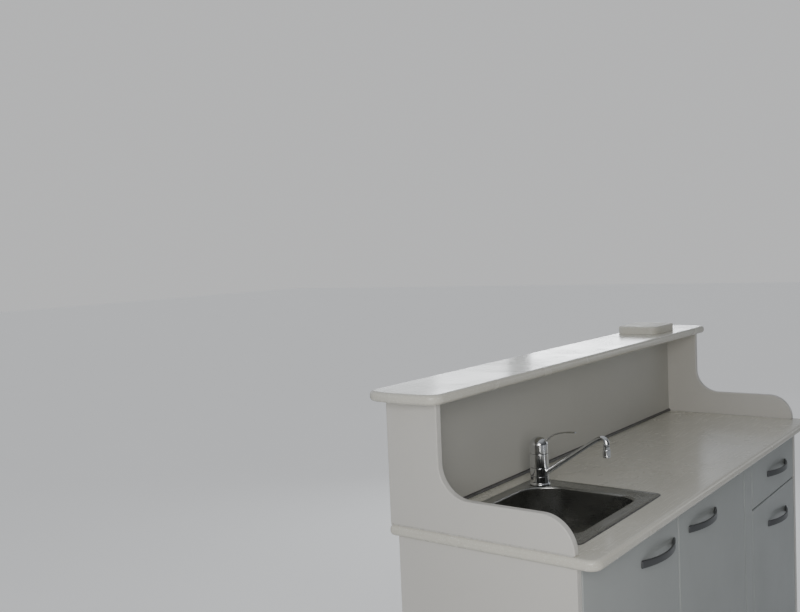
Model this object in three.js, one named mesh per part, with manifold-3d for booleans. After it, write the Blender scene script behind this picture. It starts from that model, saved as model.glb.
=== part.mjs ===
// Galley counter of a passenger catamaran's saloon.
// A white cabinet with two doors and two drawers carries a worktop with an inset steel sink and a mixer tap.
// Two S-curved cheeks and a riser carry a raised bar top along its back.
// Millimetres, +Z up. X runs along the counter and the doors face -Y.
// The origin is on the floor at the middle.
import * as THREE from "three";
import { mergeVertices } from "three/addons/utils/BufferGeometryUtils.js";
import Module from "manifold-3d";

const wasm = await Module();
wasm.setup();

// Clearances
const SEAT = 0.3;
const FRONT_GAP = 5;
const RUNNING_GAP = 0.6;

// Cabinet
const BODY_LENGTH = 1760;
const BODY_DEPTH = 474;
const TOTAL_DEPTH = 587;
const WORKTOP_TOP = 900;
const SLAB = 25;
const END_BOARD = 20;
const BOARD = 18;
const TOE_HEIGHT = 100;
const TOE_DEPTH = 55;

// Worktop and bar top
const WORKTOP_FRONT_OVERHANG = 52;
const WORKTOP_BACK_OVERHANG = 24;
const WORKTOP_END_OVERHANG = 10;
const WORKTOP_CORNER = 30;
const BAR_TOP = 1231;
const BAR_WIDTH = 210;
const BAR_END_OVERHANG = 38;
const BAR_END_BOW = 6;
const BAR_CORNER = 38;
const EDGE_ROUND = 8;

// Cheeks and riser
const COLUMN_WIDTH = 148;
const CHEEK_TOE_SETBACK = 4;
const WING_HEIGHT = 84;
const CHEEK_CURVE = 80;
const RISER_SETBACK = 460;
const RISER_BOARD = 20;

// Fronts
const FRONT_TOP = 865;
const DRAWER_SPLIT = 690;
const DOOR_MEETING = 592;
const STILE = { from: 1159, to: 1236 };
const FRONT_ROUND = 2.5;
const RAIL_DEPTH = 40;
const RAIL_BEHIND_DOORS = 8;
const DOOR_PIVOT_INSET = 9;
const PIVOT = { pinRadius: 4, holeRadius: 4.5, reach: 11, holeDepth: 14, length: 44, width: 15, plate: 3 };

// Bow handles
const HANDLE = { length: 222, reach: 28, height: 20, waist: 17, endRound: 7 };
const HANDLE_INSIDE = { length: 198, reach: 21.5 };

// Drawer boxes and runners
const BOX_SIDE = 12;
const BOX_FLOOR = 8;
const BOX_DEPTH = 408;
const RUNNER = { width: 12, height: 45, wall: 2, length: 400, setback: 27 };

// Sink
const RIM = { from: 75, to: 560, front: 30, back: 405, sheet: 2, corner: 18 };
const BOWL = { from: 130, to: 498, front: 68, back: 372, depth: 150, corner: 50, tapCorner: 95 };
const BOWL_SHEET = { wall: 2, floorRound: 26 };
const CUTOUT_CLEARANCE = 3;
const WASTE = { x: 314, y: 220, holeRadius: 24, tailRadius: 22, flangeRadius: 38, tailLength: 70 };
const TRAP = { bottleRadius: 36, bottleTop: 655, bottleBottom: 545, outletRadius: 17, outletHeight: 625 };

// Tap: heights are above its foot, and distances ahead are along its spout
const TAP = { x: 500, y: 357, holeRadius: 18, shankRadius: 15, shankLength: 70, radius: 26, footRadius: 29 };
const CAP = { foot: 88, shoulder: 117, top: 133 };
const NECK = { radius: 20, from: 25, to: 49 };
const SPOUT = { aside: 5, reach: 211, outletRadius: 10.3, outlet: [99, 121] };

// Stations along the spout and along the lever: [ahead, height, half width, half thickness]
const SPOUT_LINE = [
  [8, 26, 6.8, 6.8],
  [26, 38, 6.8, 6.8],
  [60, 61, 6.6, 6.6],
  [100, 88, 6.4, 6.4],
  [140, 115, 6.2, 6.2],
  [172, 136.5, 6.2, 6.2],
  [188, 146, 6.3, 6.3],
  [200, 149, 6.8, 6.8],
  [208, 144.5, 7.6, 7.6],
  [211, 135, 8.6, 8.6],
  [211, 118, 9, 9],
];
const LEVER_LINE = [
  [12, 115, 7, 3],
  [30, 128.5, 7, 2.9],
  [50, 143, 7, 2.7],
  [78, 151.5, 6.6, 2.5],
  [118, 156, 5.5, 2.3],
];

// Raised pad on the bar top
const PAD = { from: 1412, to: 1602, front: 375, back: 525, height: 27, corner: 30, edge: 4 };

// Places worked out from the sizes above
const LEFT = -BODY_LENGTH / 2;
const RIGHT = BODY_LENGTH / 2;
const FRONT = -TOTAL_DEPTH / 2 + WORKTOP_FRONT_OVERHANG;
const BACK = FRONT + BODY_DEPTH;
const WORKTOP_BACK = BACK + WORKTOP_BACK_OVERHANG;
const BAR_BACK = TOTAL_DEPTH / 2;
const BAR_FRONT = BAR_BACK - BAR_WIDTH;
const WORKTOP_UNDERSIDE = WORKTOP_TOP - SLAB;
const BAR_UNDERSIDE = BAR_TOP - SLAB;
const INSIDE_LEFT = LEFT + END_BOARD;
const INSIDE_RIGHT = RIGHT - END_BOARD;
const INSIDE_BACK = BACK - BOARD;
const FLOOR_BOARD_TOP = TOE_HEIGHT + BOARD;
const FRONT_BOTTOM = FLOOR_BOARD_TOP + FRONT_GAP;
const FRONT_INNER = FRONT + BOARD;
const STILE_LEFT = LEFT + STILE.from;
const STILE_RIGHT = LEFT + STILE.to;
const PARTITION_LEFT = STILE_RIGHT - BOARD;
const alongX = (distance) => LEFT + distance;
const behindFronts = (distance) => FRONT + distance;

// Materials
const paint = (color, roughness, metalness = 0) =>
  new THREE.MeshStandardMaterial({ color, roughness, metalness });
const panelPaint = () => paint(0xd9d8d2, 0.5);
const frontPaint = () => paint(0xcdd0d0, 0.5);
const slabPaint = () => paint(0xe2dfd6, 0.35);
const carcassPaint = () => paint(0xcfc9b8, 0.6);
const steel = () => paint(0x9a9b98, 0.3, 1);
const chrome = () => paint(0xc8cacc, 0.12, 1);
const handleMetal = () => paint(0x4c4e50, 0.38, 0.9);
const plastic = () => paint(0xdadad6, 0.5);

const object = new THREE.Group();

function add(name, geometry, material) {
  const mesh = new THREE.Mesh(geometry, material);
  mesh.name = name;
  object.add(mesh);
  return mesh;
}

// Solids and booleans
function solidOf(geometry) {
  const bare = geometry.clone();
  bare.deleteAttribute("normal");
  bare.deleteAttribute("uv");
  const merged = mergeVertices(bare, 1e-4);
  return new wasm.Manifold(
    new wasm.Mesh({
      numProp: 3,
      vertProperties: new Float32Array(merged.attributes.position.array),
      triVerts: new Uint32Array(merged.index.array),
    }),
  );
}

function geometryOf(solid) {
  const result = solid.getMesh();
  const geometry = new THREE.BufferGeometry();
  geometry.setAttribute("position", new THREE.BufferAttribute(result.vertProperties, 3));
  geometry.setIndex(new THREE.BufferAttribute(result.triVerts, 1));
  geometry.computeVertexNormals();
  return geometry;
}

function joined(...geometries) {
  return geometryOf(geometries.map(solidOf).reduce((whole, piece) => whole.add(piece)));
}

function cut(geometry, ...tools) {
  return geometryOf(tools.map(solidOf).reduce((whole, tool) => whole.subtract(tool), solidOf(geometry)));
}

// Basic shapes
function box([x0, x1], [y0, y1], [z0, z1]) {
  const geometry = new THREE.BoxGeometry(x1 - x0, y1 - y0, z1 - z0);
  return geometry.translate((x0 + x1) / 2, (y0 + y1) / 2, (z0 + z1) / 2);
}

function rod(radius, x, y, [z0, z1], sides = 32) {
  const geometry = new THREE.CylinderGeometry(radius, radius, z1 - z0, sides);
  return geometry.rotateX(Math.PI / 2).translate(x, y, (z0 + z1) / 2);
}

// Rectangle in the plane with its own radius at each corner: [left front, right front, right back, left back]
function roundedOutline([x0, x1], [y0, y1], radii) {
  const [leftFront, rightFront, rightBack, leftBack] = radii;
  const shape = new THREE.Shape();
  shape.moveTo(x0 + leftFront, y0);
  shape.lineTo(x1 - rightFront, y0);
  shape.absarc(x1 - rightFront, y0 + rightFront, rightFront, -Math.PI / 2, 0);
  shape.lineTo(x1, y1 - rightBack);
  shape.absarc(x1 - rightBack, y1 - rightBack, rightBack, 0, Math.PI / 2);
  shape.lineTo(x0 + leftBack, y1);
  shape.absarc(x0 + leftBack, y1 - leftBack, leftBack, Math.PI / 2, Math.PI);
  shape.lineTo(x0, y0 + leftFront);
  shape.absarc(x0 + leftFront, y0 + leftFront, leftFront, Math.PI, Math.PI * 1.5);
  return shape;
}

// Outline carried upward from z0 to z1, with its long edges rounded by edge
function raised(shape, [z0, z1], { edge = 0, edgeSteps = 3, curveSteps = 8 } = {}) {
  const geometry = new THREE.ExtrudeGeometry(shape, {
    depth: z1 - z0 - 2 * edge,
    bevelEnabled: edge > 0,
    bevelThickness: edge,
    bevelSize: edge,
    bevelOffset: -edge,
    bevelSegments: edgeSteps,
    curveSegments: curveSteps,
  });
  return geometry.translate(0, 0, z0 + edge);
}

// Outline drawn in the Y-Z plane, carried along X
function carriedAlongX(shape, [x0, x1], curveSegments = 10) {
  const geometry = new THREE.ExtrudeGeometry(shape, { depth: x1 - x0, bevelEnabled: false, curveSegments });
  const turn = new THREE.Matrix4().makeBasis(
    new THREE.Vector3(0, 1, 0),
    new THREE.Vector3(0, 0, 1),
    new THREE.Vector3(1, 0, 0),
  );
  return geometry.applyMatrix4(turn).translate(x0, 0, 0);
}

// Turned piece standing upright at x, y, from a profile of [radius, height] pairs
function turned(profile, x, y, z, sides = 36) {
  const points = profile.map(([radius, height]) => new THREE.Vector2(radius, height));
  return new THREE.LatheGeometry(points, sides).rotateX(Math.PI / 2).translate(x, y, z);
}

// Carcass
function addEndPanels() {
  const outline = new THREE.Shape();
  outline.moveTo(FRONT + TOE_DEPTH, 0);
  outline.lineTo(BACK, 0);
  outline.lineTo(BACK, WORKTOP_UNDERSIDE - SEAT);
  outline.lineTo(FRONT, WORKTOP_UNDERSIDE - SEAT);
  outline.lineTo(FRONT, TOE_HEIGHT);
  outline.lineTo(FRONT + TOE_DEPTH, TOE_HEIGHT);
  outline.closePath();
  for (const { name, from } of [
    { name: "end_panel_left", from: LEFT },
    { name: "end_panel_right", from: INSIDE_RIGHT },
  ]) {
    add(name, carriedAlongX(outline, [from, from + END_BOARD]), panelPaint());
  }
}

function addCarcassBoards() {
  const acrossInside = [INSIDE_LEFT + SEAT, INSIDE_RIGHT - SEAT];
  const toeFace = FRONT + TOE_DEPTH;
  const innerHeight = [FLOOR_BOARD_TOP + SEAT, WORKTOP_UNDERSIDE - SEAT];
  const behindStile = [FRONT_INNER + SEAT, INSIDE_BACK - SEAT];
  const railDepth = [FRONT_INNER + RAIL_BEHIND_DOORS, FRONT_INNER + RAIL_BEHIND_DOORS + RAIL_DEPTH];
  const railHeight = [WORKTOP_UNDERSIDE - SEAT - BOARD, WORKTOP_UNDERSIDE - SEAT];
  const boards = [
    { name: "back_panel", x: acrossInside, y: [INSIDE_BACK, BACK], z: [0, WORKTOP_UNDERSIDE - SEAT] },
    { name: "toe_board", x: acrossInside, y: [toeFace, toeFace + BOARD], z: [0, TOE_HEIGHT - SEAT] },
    { name: "floor_board", x: acrossInside, y: [FRONT, INSIDE_BACK - SEAT], z: [TOE_HEIGHT, FLOOR_BOARD_TOP] },
    { name: "partition", x: [PARTITION_LEFT, STILE_RIGHT], y: behindStile, z: innerHeight },
    { name: "front_stile", x: [STILE_LEFT, STILE_RIGHT], y: [FRONT, FRONT_INNER], z: innerHeight },
    { name: "front_rail_left", x: [INSIDE_LEFT + SEAT, PARTITION_LEFT - SEAT], y: railDepth, z: railHeight },
    { name: "front_rail_right", x: [STILE_RIGHT + SEAT, INSIDE_RIGHT - SEAT], y: railDepth, z: railHeight },
  ];
  for (const { name, x, y, z } of boards) {
    add(name, box(x, y, z), name === "front_stile" ? frontPaint() : carcassPaint());
  }
}

// Worktop with the sink's cut-out and the tap's hole
function bowlOutline(growth) {
  const corners = [BOWL.corner, BOWL.corner, BOWL.tapCorner, BOWL.corner].map((radius) => radius + growth);
  return roundedOutline(
    [alongX(BOWL.from) - growth, alongX(BOWL.to) + growth],
    [behindFronts(BOWL.front) - growth, behindFronts(BOWL.back) + growth],
    corners,
  );
}

function addWorktop() {
  const outline = roundedOutline(
    [LEFT - WORKTOP_END_OVERHANG, RIGHT + WORKTOP_END_OVERHANG],
    [-TOTAL_DEPTH / 2, WORKTOP_BACK],
    [WORKTOP_CORNER, WORKTOP_CORNER, EDGE_ROUND + 2, EDGE_ROUND + 2],
  );
  const through = [WORKTOP_UNDERSIDE - 5, WORKTOP_TOP + 5];
  const slab = raised(outline, [WORKTOP_UNDERSIDE, WORKTOP_TOP], { edge: EDGE_ROUND });
  const bowlHole = raised(bowlOutline(BOWL_SHEET.wall + CUTOUT_CLEARANCE), through);
  const tapHole = rod(TAP.holeRadius, alongX(TAP.x), behindFronts(TAP.y), through);
  add("worktop", cut(slab, bowlHole, tapHole), slabPaint());
}

// Raised bar
function cheekOutline() {
  const columnBack = WORKTOP_BACK;
  const columnFront = columnBack - COLUMN_WIDTH;
  const toe = FRONT + CHEEK_TOE_SETBACK;
  const foot = WORKTOP_TOP + SEAT;
  const wingTop = WORKTOP_TOP + WING_HEIGHT;
  const shape = new THREE.Shape();
  shape.moveTo(toe, foot);
  shape.lineTo(columnBack, foot);
  shape.lineTo(columnBack, BAR_UNDERSIDE - SEAT);
  shape.lineTo(columnFront, BAR_UNDERSIDE - SEAT);
  shape.lineTo(columnFront, wingTop + CHEEK_CURVE);
  shape.absarc(columnFront - CHEEK_CURVE, wingTop + CHEEK_CURVE, CHEEK_CURVE, 0, -Math.PI / 2, true);
  shape.lineTo(toe + CHEEK_CURVE, wingTop);
  shape.absarc(toe + CHEEK_CURVE, wingTop - CHEEK_CURVE, CHEEK_CURVE, Math.PI / 2, Math.PI, false);
  shape.closePath();
  return shape;
}

function addRaisedBar() {
  for (const { name, from } of [
    { name: "cheek_left", from: LEFT },
    { name: "cheek_right", from: INSIDE_RIGHT },
  ]) {
    add(name, carriedAlongX(cheekOutline(), [from, from + END_BOARD], 12), panelPaint());
  }
  const between = [INSIDE_LEFT + SEAT, INSIDE_RIGHT - SEAT];
  const height = [WORKTOP_TOP + SEAT, BAR_UNDERSIDE - SEAT];
  const riserFace = behindFronts(RISER_SETBACK);
  add("riser_panel", box(between, [riserFace, riserFace + RISER_BOARD], height), panelPaint());
  add("riser_back_panel", box(between, [riserFace + RISER_BOARD + SEAT, WORKTOP_BACK], height), panelPaint());
  add("bar_top", raised(barOutline(), [BAR_UNDERSIDE, BAR_TOP], { edge: EDGE_ROUND }), slabPaint());
}

// Bar top outline: rounded corners, with each end bowed out a little
function barOutline() {
  const half = RIGHT + BAR_END_OVERHANG;
  const bow = half + 2 * BAR_END_BOW;
  const middle = (BAR_FRONT + BAR_BACK) / 2;
  const shape = new THREE.Shape();
  shape.moveTo(-half + BAR_CORNER, BAR_FRONT);
  shape.lineTo(half - BAR_CORNER, BAR_FRONT);
  shape.absarc(half - BAR_CORNER, BAR_FRONT + BAR_CORNER, BAR_CORNER, -Math.PI / 2, 0);
  shape.quadraticCurveTo(bow, middle, half, BAR_BACK - BAR_CORNER);
  shape.absarc(half - BAR_CORNER, BAR_BACK - BAR_CORNER, BAR_CORNER, 0, Math.PI / 2);
  shape.lineTo(-half + BAR_CORNER, BAR_BACK);
  shape.absarc(-half + BAR_CORNER, BAR_BACK - BAR_CORNER, BAR_CORNER, Math.PI / 2, Math.PI);
  shape.quadraticCurveTo(-bow, middle, -half, BAR_FRONT + BAR_CORNER);
  shape.absarc(-half + BAR_CORNER, BAR_FRONT + BAR_CORNER, BAR_CORNER, Math.PI, Math.PI * 1.5);
  return shape;
}

function addBarPad() {
  const corners = Array(4).fill(PAD.corner);
  const outline = roundedOutline(
    [alongX(PAD.from), alongX(PAD.to)],
    [behindFronts(PAD.front), behindFronts(PAD.back)],
    corners,
  );
  const height = [BAR_TOP + SEAT, BAR_TOP + PAD.height];
  add("bar_pad", raised(outline, height, { edge: PAD.edge, edgeSteps: 2 }), slabPaint());
}

// Sink: a flat rim around a bowl with a rounded floor edge
function addSink() {
  const rimHeight = [WORKTOP_TOP + SEAT, WORKTOP_TOP + SEAT + RIM.sheet];
  const rimOutline = roundedOutline(
    [alongX(RIM.from), alongX(RIM.to)],
    [behindFronts(RIM.front), behindFronts(RIM.back)],
    Array(4).fill(RIM.corner),
  );
  const bowlFloor = WORKTOP_TOP - BOWL.depth;
  const above = rimHeight[1] + 60;
  const shell = raised(bowlOutline(BOWL_SHEET.wall), [bowlFloor - BOWL_SHEET.wall, above], {
    edge: BOWL_SHEET.floorRound + BOWL_SHEET.wall,
    edgeSteps: 4,
    curveSteps: 6,
  });
  const hollow = raised(bowlOutline(0), [bowlFloor, above + 5], {
    edge: BOWL_SHEET.floorRound,
    edgeSteps: 4,
    curveSteps: 6,
  });
  const everything = [LEFT, RIGHT];
  const trim = box(everything, [FRONT, BACK], [rimHeight[1], above + 10]);
  const rim = raised(rimOutline, rimHeight);
  const throughRim = [rimHeight[0] - 5, rimHeight[1] + 5];
  const tapHole = rod(TAP.holeRadius, alongX(TAP.x), behindFronts(TAP.y), throughRim);
  const throughFloor = [bowlFloor - 20, bowlFloor + 20];
  const wasteHole = rod(WASTE.holeRadius, alongX(WASTE.x), behindFronts(WASTE.y), throughFloor);
  add("sink", cut(joined(rim, cut(shell, trim)), hollow, tapHole, wasteHole), steel());
}

// Waste fitting through the bowl's floor, open at the top, and the bottle trap under it
function addWaste() {
  const x = alongX(WASTE.x);
  const y = behindFronts(WASTE.y);
  const flangeFoot = WORKTOP_TOP - BOWL.depth + SEAT;
  const fitting = [
    [0, -WASTE.tailLength],
    [WASTE.tailRadius, -WASTE.tailLength],
    [WASTE.tailRadius, 0],
    [WASTE.flangeRadius, 0],
    [WASTE.flangeRadius - 3, 3],
    [WASTE.tailRadius - 1, 3],
    [WASTE.tailRadius - 4, -10],
    [0, -10],
  ];
  add("sink_waste", turned(fitting, x, y, flangeFoot), steel());
  const tailEnd = flangeFoot - WASTE.tailLength;
  const bottle = [
    [0, TRAP.bottleBottom],
    [TRAP.bottleRadius - 6, TRAP.bottleBottom],
    [TRAP.bottleRadius, TRAP.bottleBottom + 8],
    [TRAP.bottleRadius, TRAP.bottleTop - 10],
    [TRAP.bottleRadius - 8, TRAP.bottleTop],
    [WASTE.tailRadius + 3, TRAP.bottleTop],
    [WASTE.tailRadius + 3, tailEnd - SEAT],
    [0, tailEnd - SEAT],
  ];
  const outletLength = INSIDE_BACK - SEAT - y;
  const outlet = new THREE.CylinderGeometry(TRAP.outletRadius, TRAP.outletRadius, outletLength, 24);
  outlet.translate(x, y + outletLength / 2, TRAP.outletHeight);
  add("waste_trap", joined(turned(bottle, x, y, 0, 28), outlet), plastic());
}

// Mixer tap: a round body, a spout that swivels on its neck, and a domed cap with a pin lever
function addTap() {
  const x = alongX(TAP.x);
  const y = behindFronts(TAP.y);
  const foot = WORKTOP_TOP + SEAT + RIM.sheet + SEAT;
  const body = [
    [0, -TAP.shankLength],
    [TAP.shankRadius, -TAP.shankLength],
    [TAP.shankRadius, 0],
    [TAP.footRadius, 0],
    [TAP.footRadius, 5],
    [TAP.radius, 8],
    [TAP.radius, NECK.from],
    [NECK.radius, NECK.from],
    [NECK.radius, NECK.to],
    [TAP.radius, NECK.to],
    [TAP.radius, CAP.foot - SEAT],
    [0, CAP.foot - SEAT],
  ];
  add("tap_body", turned(body, x, y, foot), chrome());
  const turn = THREE.MathUtils.degToRad(-90 - SPOUT.aside);
  const aim = new THREE.Vector3(Math.cos(turn), Math.sin(turn), 0);
  const base = new THREE.Vector3(x, y, foot);
  add("tap_spout", spoutGeometry(base, aim), chrome());
  const cap = turned(capProfile(), x, y, foot);
  add("tap_lever", joined(cap, ovalBar(LEVER_LINE, base, aim)), chrome());
}

function spoutGeometry(base, aim) {
  const collar = [base.z + NECK.from + SEAT, base.z + NECK.to - SEAT];
  const mouth = SPOUT.outlet.map((height) => base.z + height);
  const tip = base.clone().addScaledVector(aim, SPOUT.reach);
  const outlet = rod(SPOUT.outletRadius, tip.x, tip.y, mouth, 20);
  const bore = rod(NECK.radius + RUNNING_GAP, base.x, base.y, [collar[0] - 10, collar[1] + 10]);
  return cut(joined(rod(TAP.radius, base.x, base.y, collar), ovalBar(SPOUT_LINE, base, aim), outlet), bore);
}

// Cap with upright sides and a flattened dome
function capProfile() {
  const dome = [15, 30, 45, 60, 75].map((angle) => {
    const turn = THREE.MathUtils.degToRad(angle);
    return [TAP.radius * Math.cos(turn), CAP.shoulder + (CAP.top - CAP.shoulder) * Math.sin(turn)];
  });
  return [[0, CAP.foot], [TAP.radius, CAP.foot], [TAP.radius, CAP.shoulder], ...dome, [0, CAP.top]];
}

// Bar of oval section through its stations, carried ahead of the base along the aim
function ovalBar(stations, base, aim, sides = 16) {
  const up = new THREE.Vector3(0, 0, 1);
  const place = ([ahead, height]) => base.clone().addScaledVector(aim, ahead).addScaledVector(up, height);
  const path = new THREE.CatmullRomCurve3(stations.map(place));
  const across = up.clone().cross(aim);
  const spans = stations.length - 1;
  const bar = new THREE.CylinderGeometry(1, 1, 1, sides, spans * 3);
  const positions = bar.attributes.position;
  const point = new THREE.Vector3();
  for (let i = 0; i < positions.count; i += 1) {
    point.fromBufferAttribute(positions, i);
    const along = THREE.MathUtils.clamp(point.y + 0.5, 0, 1);
    const span = Math.min(Math.floor(along * spans), spans - 1);
    const past = along * spans - span;
    const size = (which) => THREE.MathUtils.lerp(stations[span][which], stations[span + 1][which], past);
    const over = across.clone().cross(path.getTangent(along));
    const moved = path.getPoint(along);
    moved.addScaledVector(across, point.x * size(2)).addScaledVector(over, point.z * size(3));
    positions.setXYZ(i, moved.x, moved.y, moved.z);
  }
  return bar;
}

// Bow handle: a flat band curved out from the front it is screwed to, centred at x and z
function handleGeometry(x, z) {
  const arcCentre = (length, reach) => (reach * reach + (length * length) / 4) / (2 * reach) - reach;
  const outerCentre = arcCentre(HANDLE.length, HANDLE.reach);
  const innerCentre = arcCentre(HANDLE_INSIDE.length, HANDLE_INSIDE.reach);
  const outerTurn = Math.atan2(HANDLE.length / 2, outerCentre);
  const innerTurn = Math.atan2(HANDLE_INSIDE.length / 2, innerCentre);
  const innerRadius = innerCentre + HANDLE_INSIDE.reach;
  const down = -Math.PI / 2;
  const shape = new THREE.Shape();
  shape.absarc(0, outerCentre, outerCentre + HANDLE.reach, down - outerTurn, down + outerTurn, false);
  shape.absarc(0, innerCentre, innerRadius, down + innerTurn, down - innerTurn, true);
  shape.closePath();
  const half = HANDLE.height / 2;
  const band = raised(shape, [-half, half], { curveSteps: 14 });
  const handle = geometryOf(solidOf(band).intersect(solidOf(handleFace())));
  return handle.translate(x, FRONT - SEAT, z);
}

// The handle as seen from the front: tall rounded ends and a narrower middle
function handleFace() {
  const end = HANDLE.length / 2;
  const half = HANDLE.height / 2;
  const dip = HANDLE.height - HANDLE.waist;
  const round = HANDLE.endRound;
  const shape = new THREE.Shape();
  shape.moveTo(-end + round, -half);
  shape.quadraticCurveTo(0, -half + dip, end - round, -half);
  shape.absarc(end - round, -half + round, round, -Math.PI / 2, 0);
  shape.lineTo(end, half - round);
  shape.absarc(end - round, half - round, round, 0, Math.PI / 2);
  shape.quadraticCurveTo(0, half - dip, -end + round, half);
  shape.absarc(-end + round, half - round, round, Math.PI / 2, Math.PI);
  shape.lineTo(-end, -half + round);
  shape.absarc(-end + round, -half + round, round, Math.PI, Math.PI * 1.5);
  const depth = HANDLE.reach + 10;
  const face = new THREE.ExtrudeGeometry(shape, { depth, bevelEnabled: false, curveSegments: 8 });
  return face.rotateX(Math.PI / 2).translate(0, 5, 0);
}

// Doors turn on pins let into their top and bottom edges, close to their outer sides
function addDoors() {
  const meeting = alongX(DOOR_MEETING);
  const half = FRONT_GAP / 2;
  const doors = [
    { name: "door_left", from: INSIDE_LEFT + FRONT_GAP, to: meeting - half, hingeAt: "from", handleX: 450 },
    { name: "door_right", from: meeting + half, to: STILE_LEFT - FRONT_GAP, hingeAt: "to", handleX: 776 },
  ];
  const handleZ = 782;
  for (const door of doors) {
    const axisX = door.hingeAt === "from" ? door.from + DOOR_PIVOT_INSET : door.to - DOOR_PIVOT_INSET;
    const axisY = FRONT + BOARD / 2;
    const plan = roundedOutline([door.from, door.to], [FRONT, FRONT_INNER], Array(4).fill(FRONT_ROUND));
    const leaf = raised(plan, [FRONT_BOTTOM, FRONT_TOP], { curveSteps: 3 });
    const holes = [
      [FRONT_BOTTOM - 5, FRONT_BOTTOM + PIVOT.holeDepth],
      [FRONT_TOP - PIVOT.holeDepth, FRONT_TOP + 5],
    ].map((height) => rod(PIVOT.holeRadius, axisX, axisY, height, 24));
    add(door.name, cut(leaf, ...holes), frontPaint());
    add(`${door.name}_handle`, handleGeometry(alongX(door.handleX), handleZ), handleMetal());
    addPivots(door, axisX, axisY);
  }
}

function addPivots({ name, hingeAt }, axisX, axisY) {
  const inward = hingeAt === "from" ? 1 : -1;
  const outerEnd = axisX - inward * DOOR_PIVOT_INSET;
  const plateX = [outerEnd, outerEnd + inward * PIVOT.length].sort((a, b) => a - b);
  const plateY = [axisY - PIVOT.width / 2, axisY + PIVOT.width / 2];
  const upperPlate = [WORKTOP_UNDERSIDE - SEAT - PIVOT.plate, WORKTOP_UNDERSIDE - SEAT];
  const lowerPlate = [FLOOR_BOARD_TOP + SEAT, FLOOR_BOARD_TOP + SEAT + PIVOT.plate];
  const upperPin = [FRONT_TOP - PIVOT.reach, upperPlate[1]];
  const lowerPin = [lowerPlate[0], FRONT_BOTTOM + PIVOT.reach];
  for (const { place, plate, pin } of [
    { place: "upper", plate: upperPlate, pin: upperPin },
    { place: "lower", plate: lowerPlate, pin: lowerPin },
  ]) {
    const parts = [box(plateX, plateY, plate), rod(PIVOT.pinRadius, axisX, axisY, pin, 24)];
    add(`${name}_${place}_pivot`, joined(...parts), steel());
  }
}

// Drawers: a front, an open box behind it, its handle, and a pair of runners
function addDrawers() {
  const topFront = [DRAWER_SPLIT + FRONT_GAP / 2, FRONT_TOP];
  const deepFront = [FRONT_BOTTOM, DRAWER_SPLIT - FRONT_GAP / 2];
  const drawers = [
    { name: "top_drawer", height: topFront, box: [702, 822], runnerZ: 745, handleZ: 771 },
    { name: "deep_drawer", height: deepFront, box: [135, 515], runnerZ: 240, handleZ: 603 },
  ];
  const handleX = 1517;
  const front = [STILE_RIGHT + FRONT_GAP, INSIDE_RIGHT - FRONT_GAP];
  const sideRoom = RUNNER.width + 2 * SEAT + 1;
  const boxX = [STILE_RIGHT + sideRoom, INSIDE_RIGHT - sideRoom];
  const boxY = [FRONT_INNER + SEAT, FRONT_INNER + SEAT + BOX_DEPTH];
  for (const drawer of drawers) {
    const plan = roundedOutline(front, [FRONT, FRONT_INNER], Array(4).fill(FRONT_ROUND));
    add(`${drawer.name}_front`, raised(plan, drawer.height, { curveSteps: 3 }), frontPaint());
    const [boxLow, boxHigh] = drawer.box;
    const hollow = box(
      [boxX[0] + BOX_SIDE, boxX[1] - BOX_SIDE],
      [boxY[0] + BOX_SIDE, boxY[1] - BOX_SIDE],
      [boxLow + BOX_FLOOR, boxHigh + 10],
    );
    add(`${drawer.name}_box`, cut(box(boxX, boxY, drawer.box), hollow), carcassPaint());
    add(`${drawer.name}_handle`, handleGeometry(alongX(handleX), drawer.handleZ), handleMetal());
    addRunners(drawer, boxX);
  }
}

// A channel on the carcass with a bar on the drawer that slides inside it
function addRunners({ name, runnerZ }, boxX) {
  const y = [FRONT_INNER + RUNNER.setback, FRONT_INNER + RUNNER.setback + RUNNER.length];
  const half = RUNNER.height / 2;
  const slot = half - RUNNER.wall;
  for (const { side, wallX, boxSide, toward } of [
    { side: "left", wallX: STILE_RIGHT, boxSide: boxX[0], toward: 1 },
    { side: "right", wallX: INSIDE_RIGHT, boxSide: boxX[1], toward: -1 },
  ]) {
    const ordered = (a, b) => [Math.min(a, b), Math.max(a, b)];
    const channelX = ordered(wallX + toward * SEAT, wallX + toward * (SEAT + RUNNER.width));
    const slotX = ordered(wallX + toward * (SEAT + RUNNER.wall), boxSide);
    const barX = ordered(wallX + toward * (SEAT + RUNNER.wall + RUNNING_GAP), boxSide - toward * SEAT);
    const barHalf = slot - RUNNING_GAP;
    const channel = box(channelX, y, [runnerZ - half, runnerZ + half]);
    const groove = box(slotX, [y[0] - 5, y[1] + 5], [runnerZ - slot, runnerZ + slot]);
    add(`${name}_${side}_channel`, cut(channel, groove), steel());
    add(`${name}_${side}_slide`, box(barX, y, [runnerZ - barHalf, runnerZ + barHalf]), steel());
  }
}

addEndPanels();
addCarcassBoards();
addWorktop();
addRaisedBar();
addBarPad();
addSink();
addWaste();
addTap();
addDoors();
addDrawers();

export default object;
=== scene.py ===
import math
from contextlib import contextmanager

import bmesh
import bpy
from bpy.props import FloatProperty, FloatVectorProperty, IntProperty, PointerProperty
from mathutils import Matrix, Vector


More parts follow.
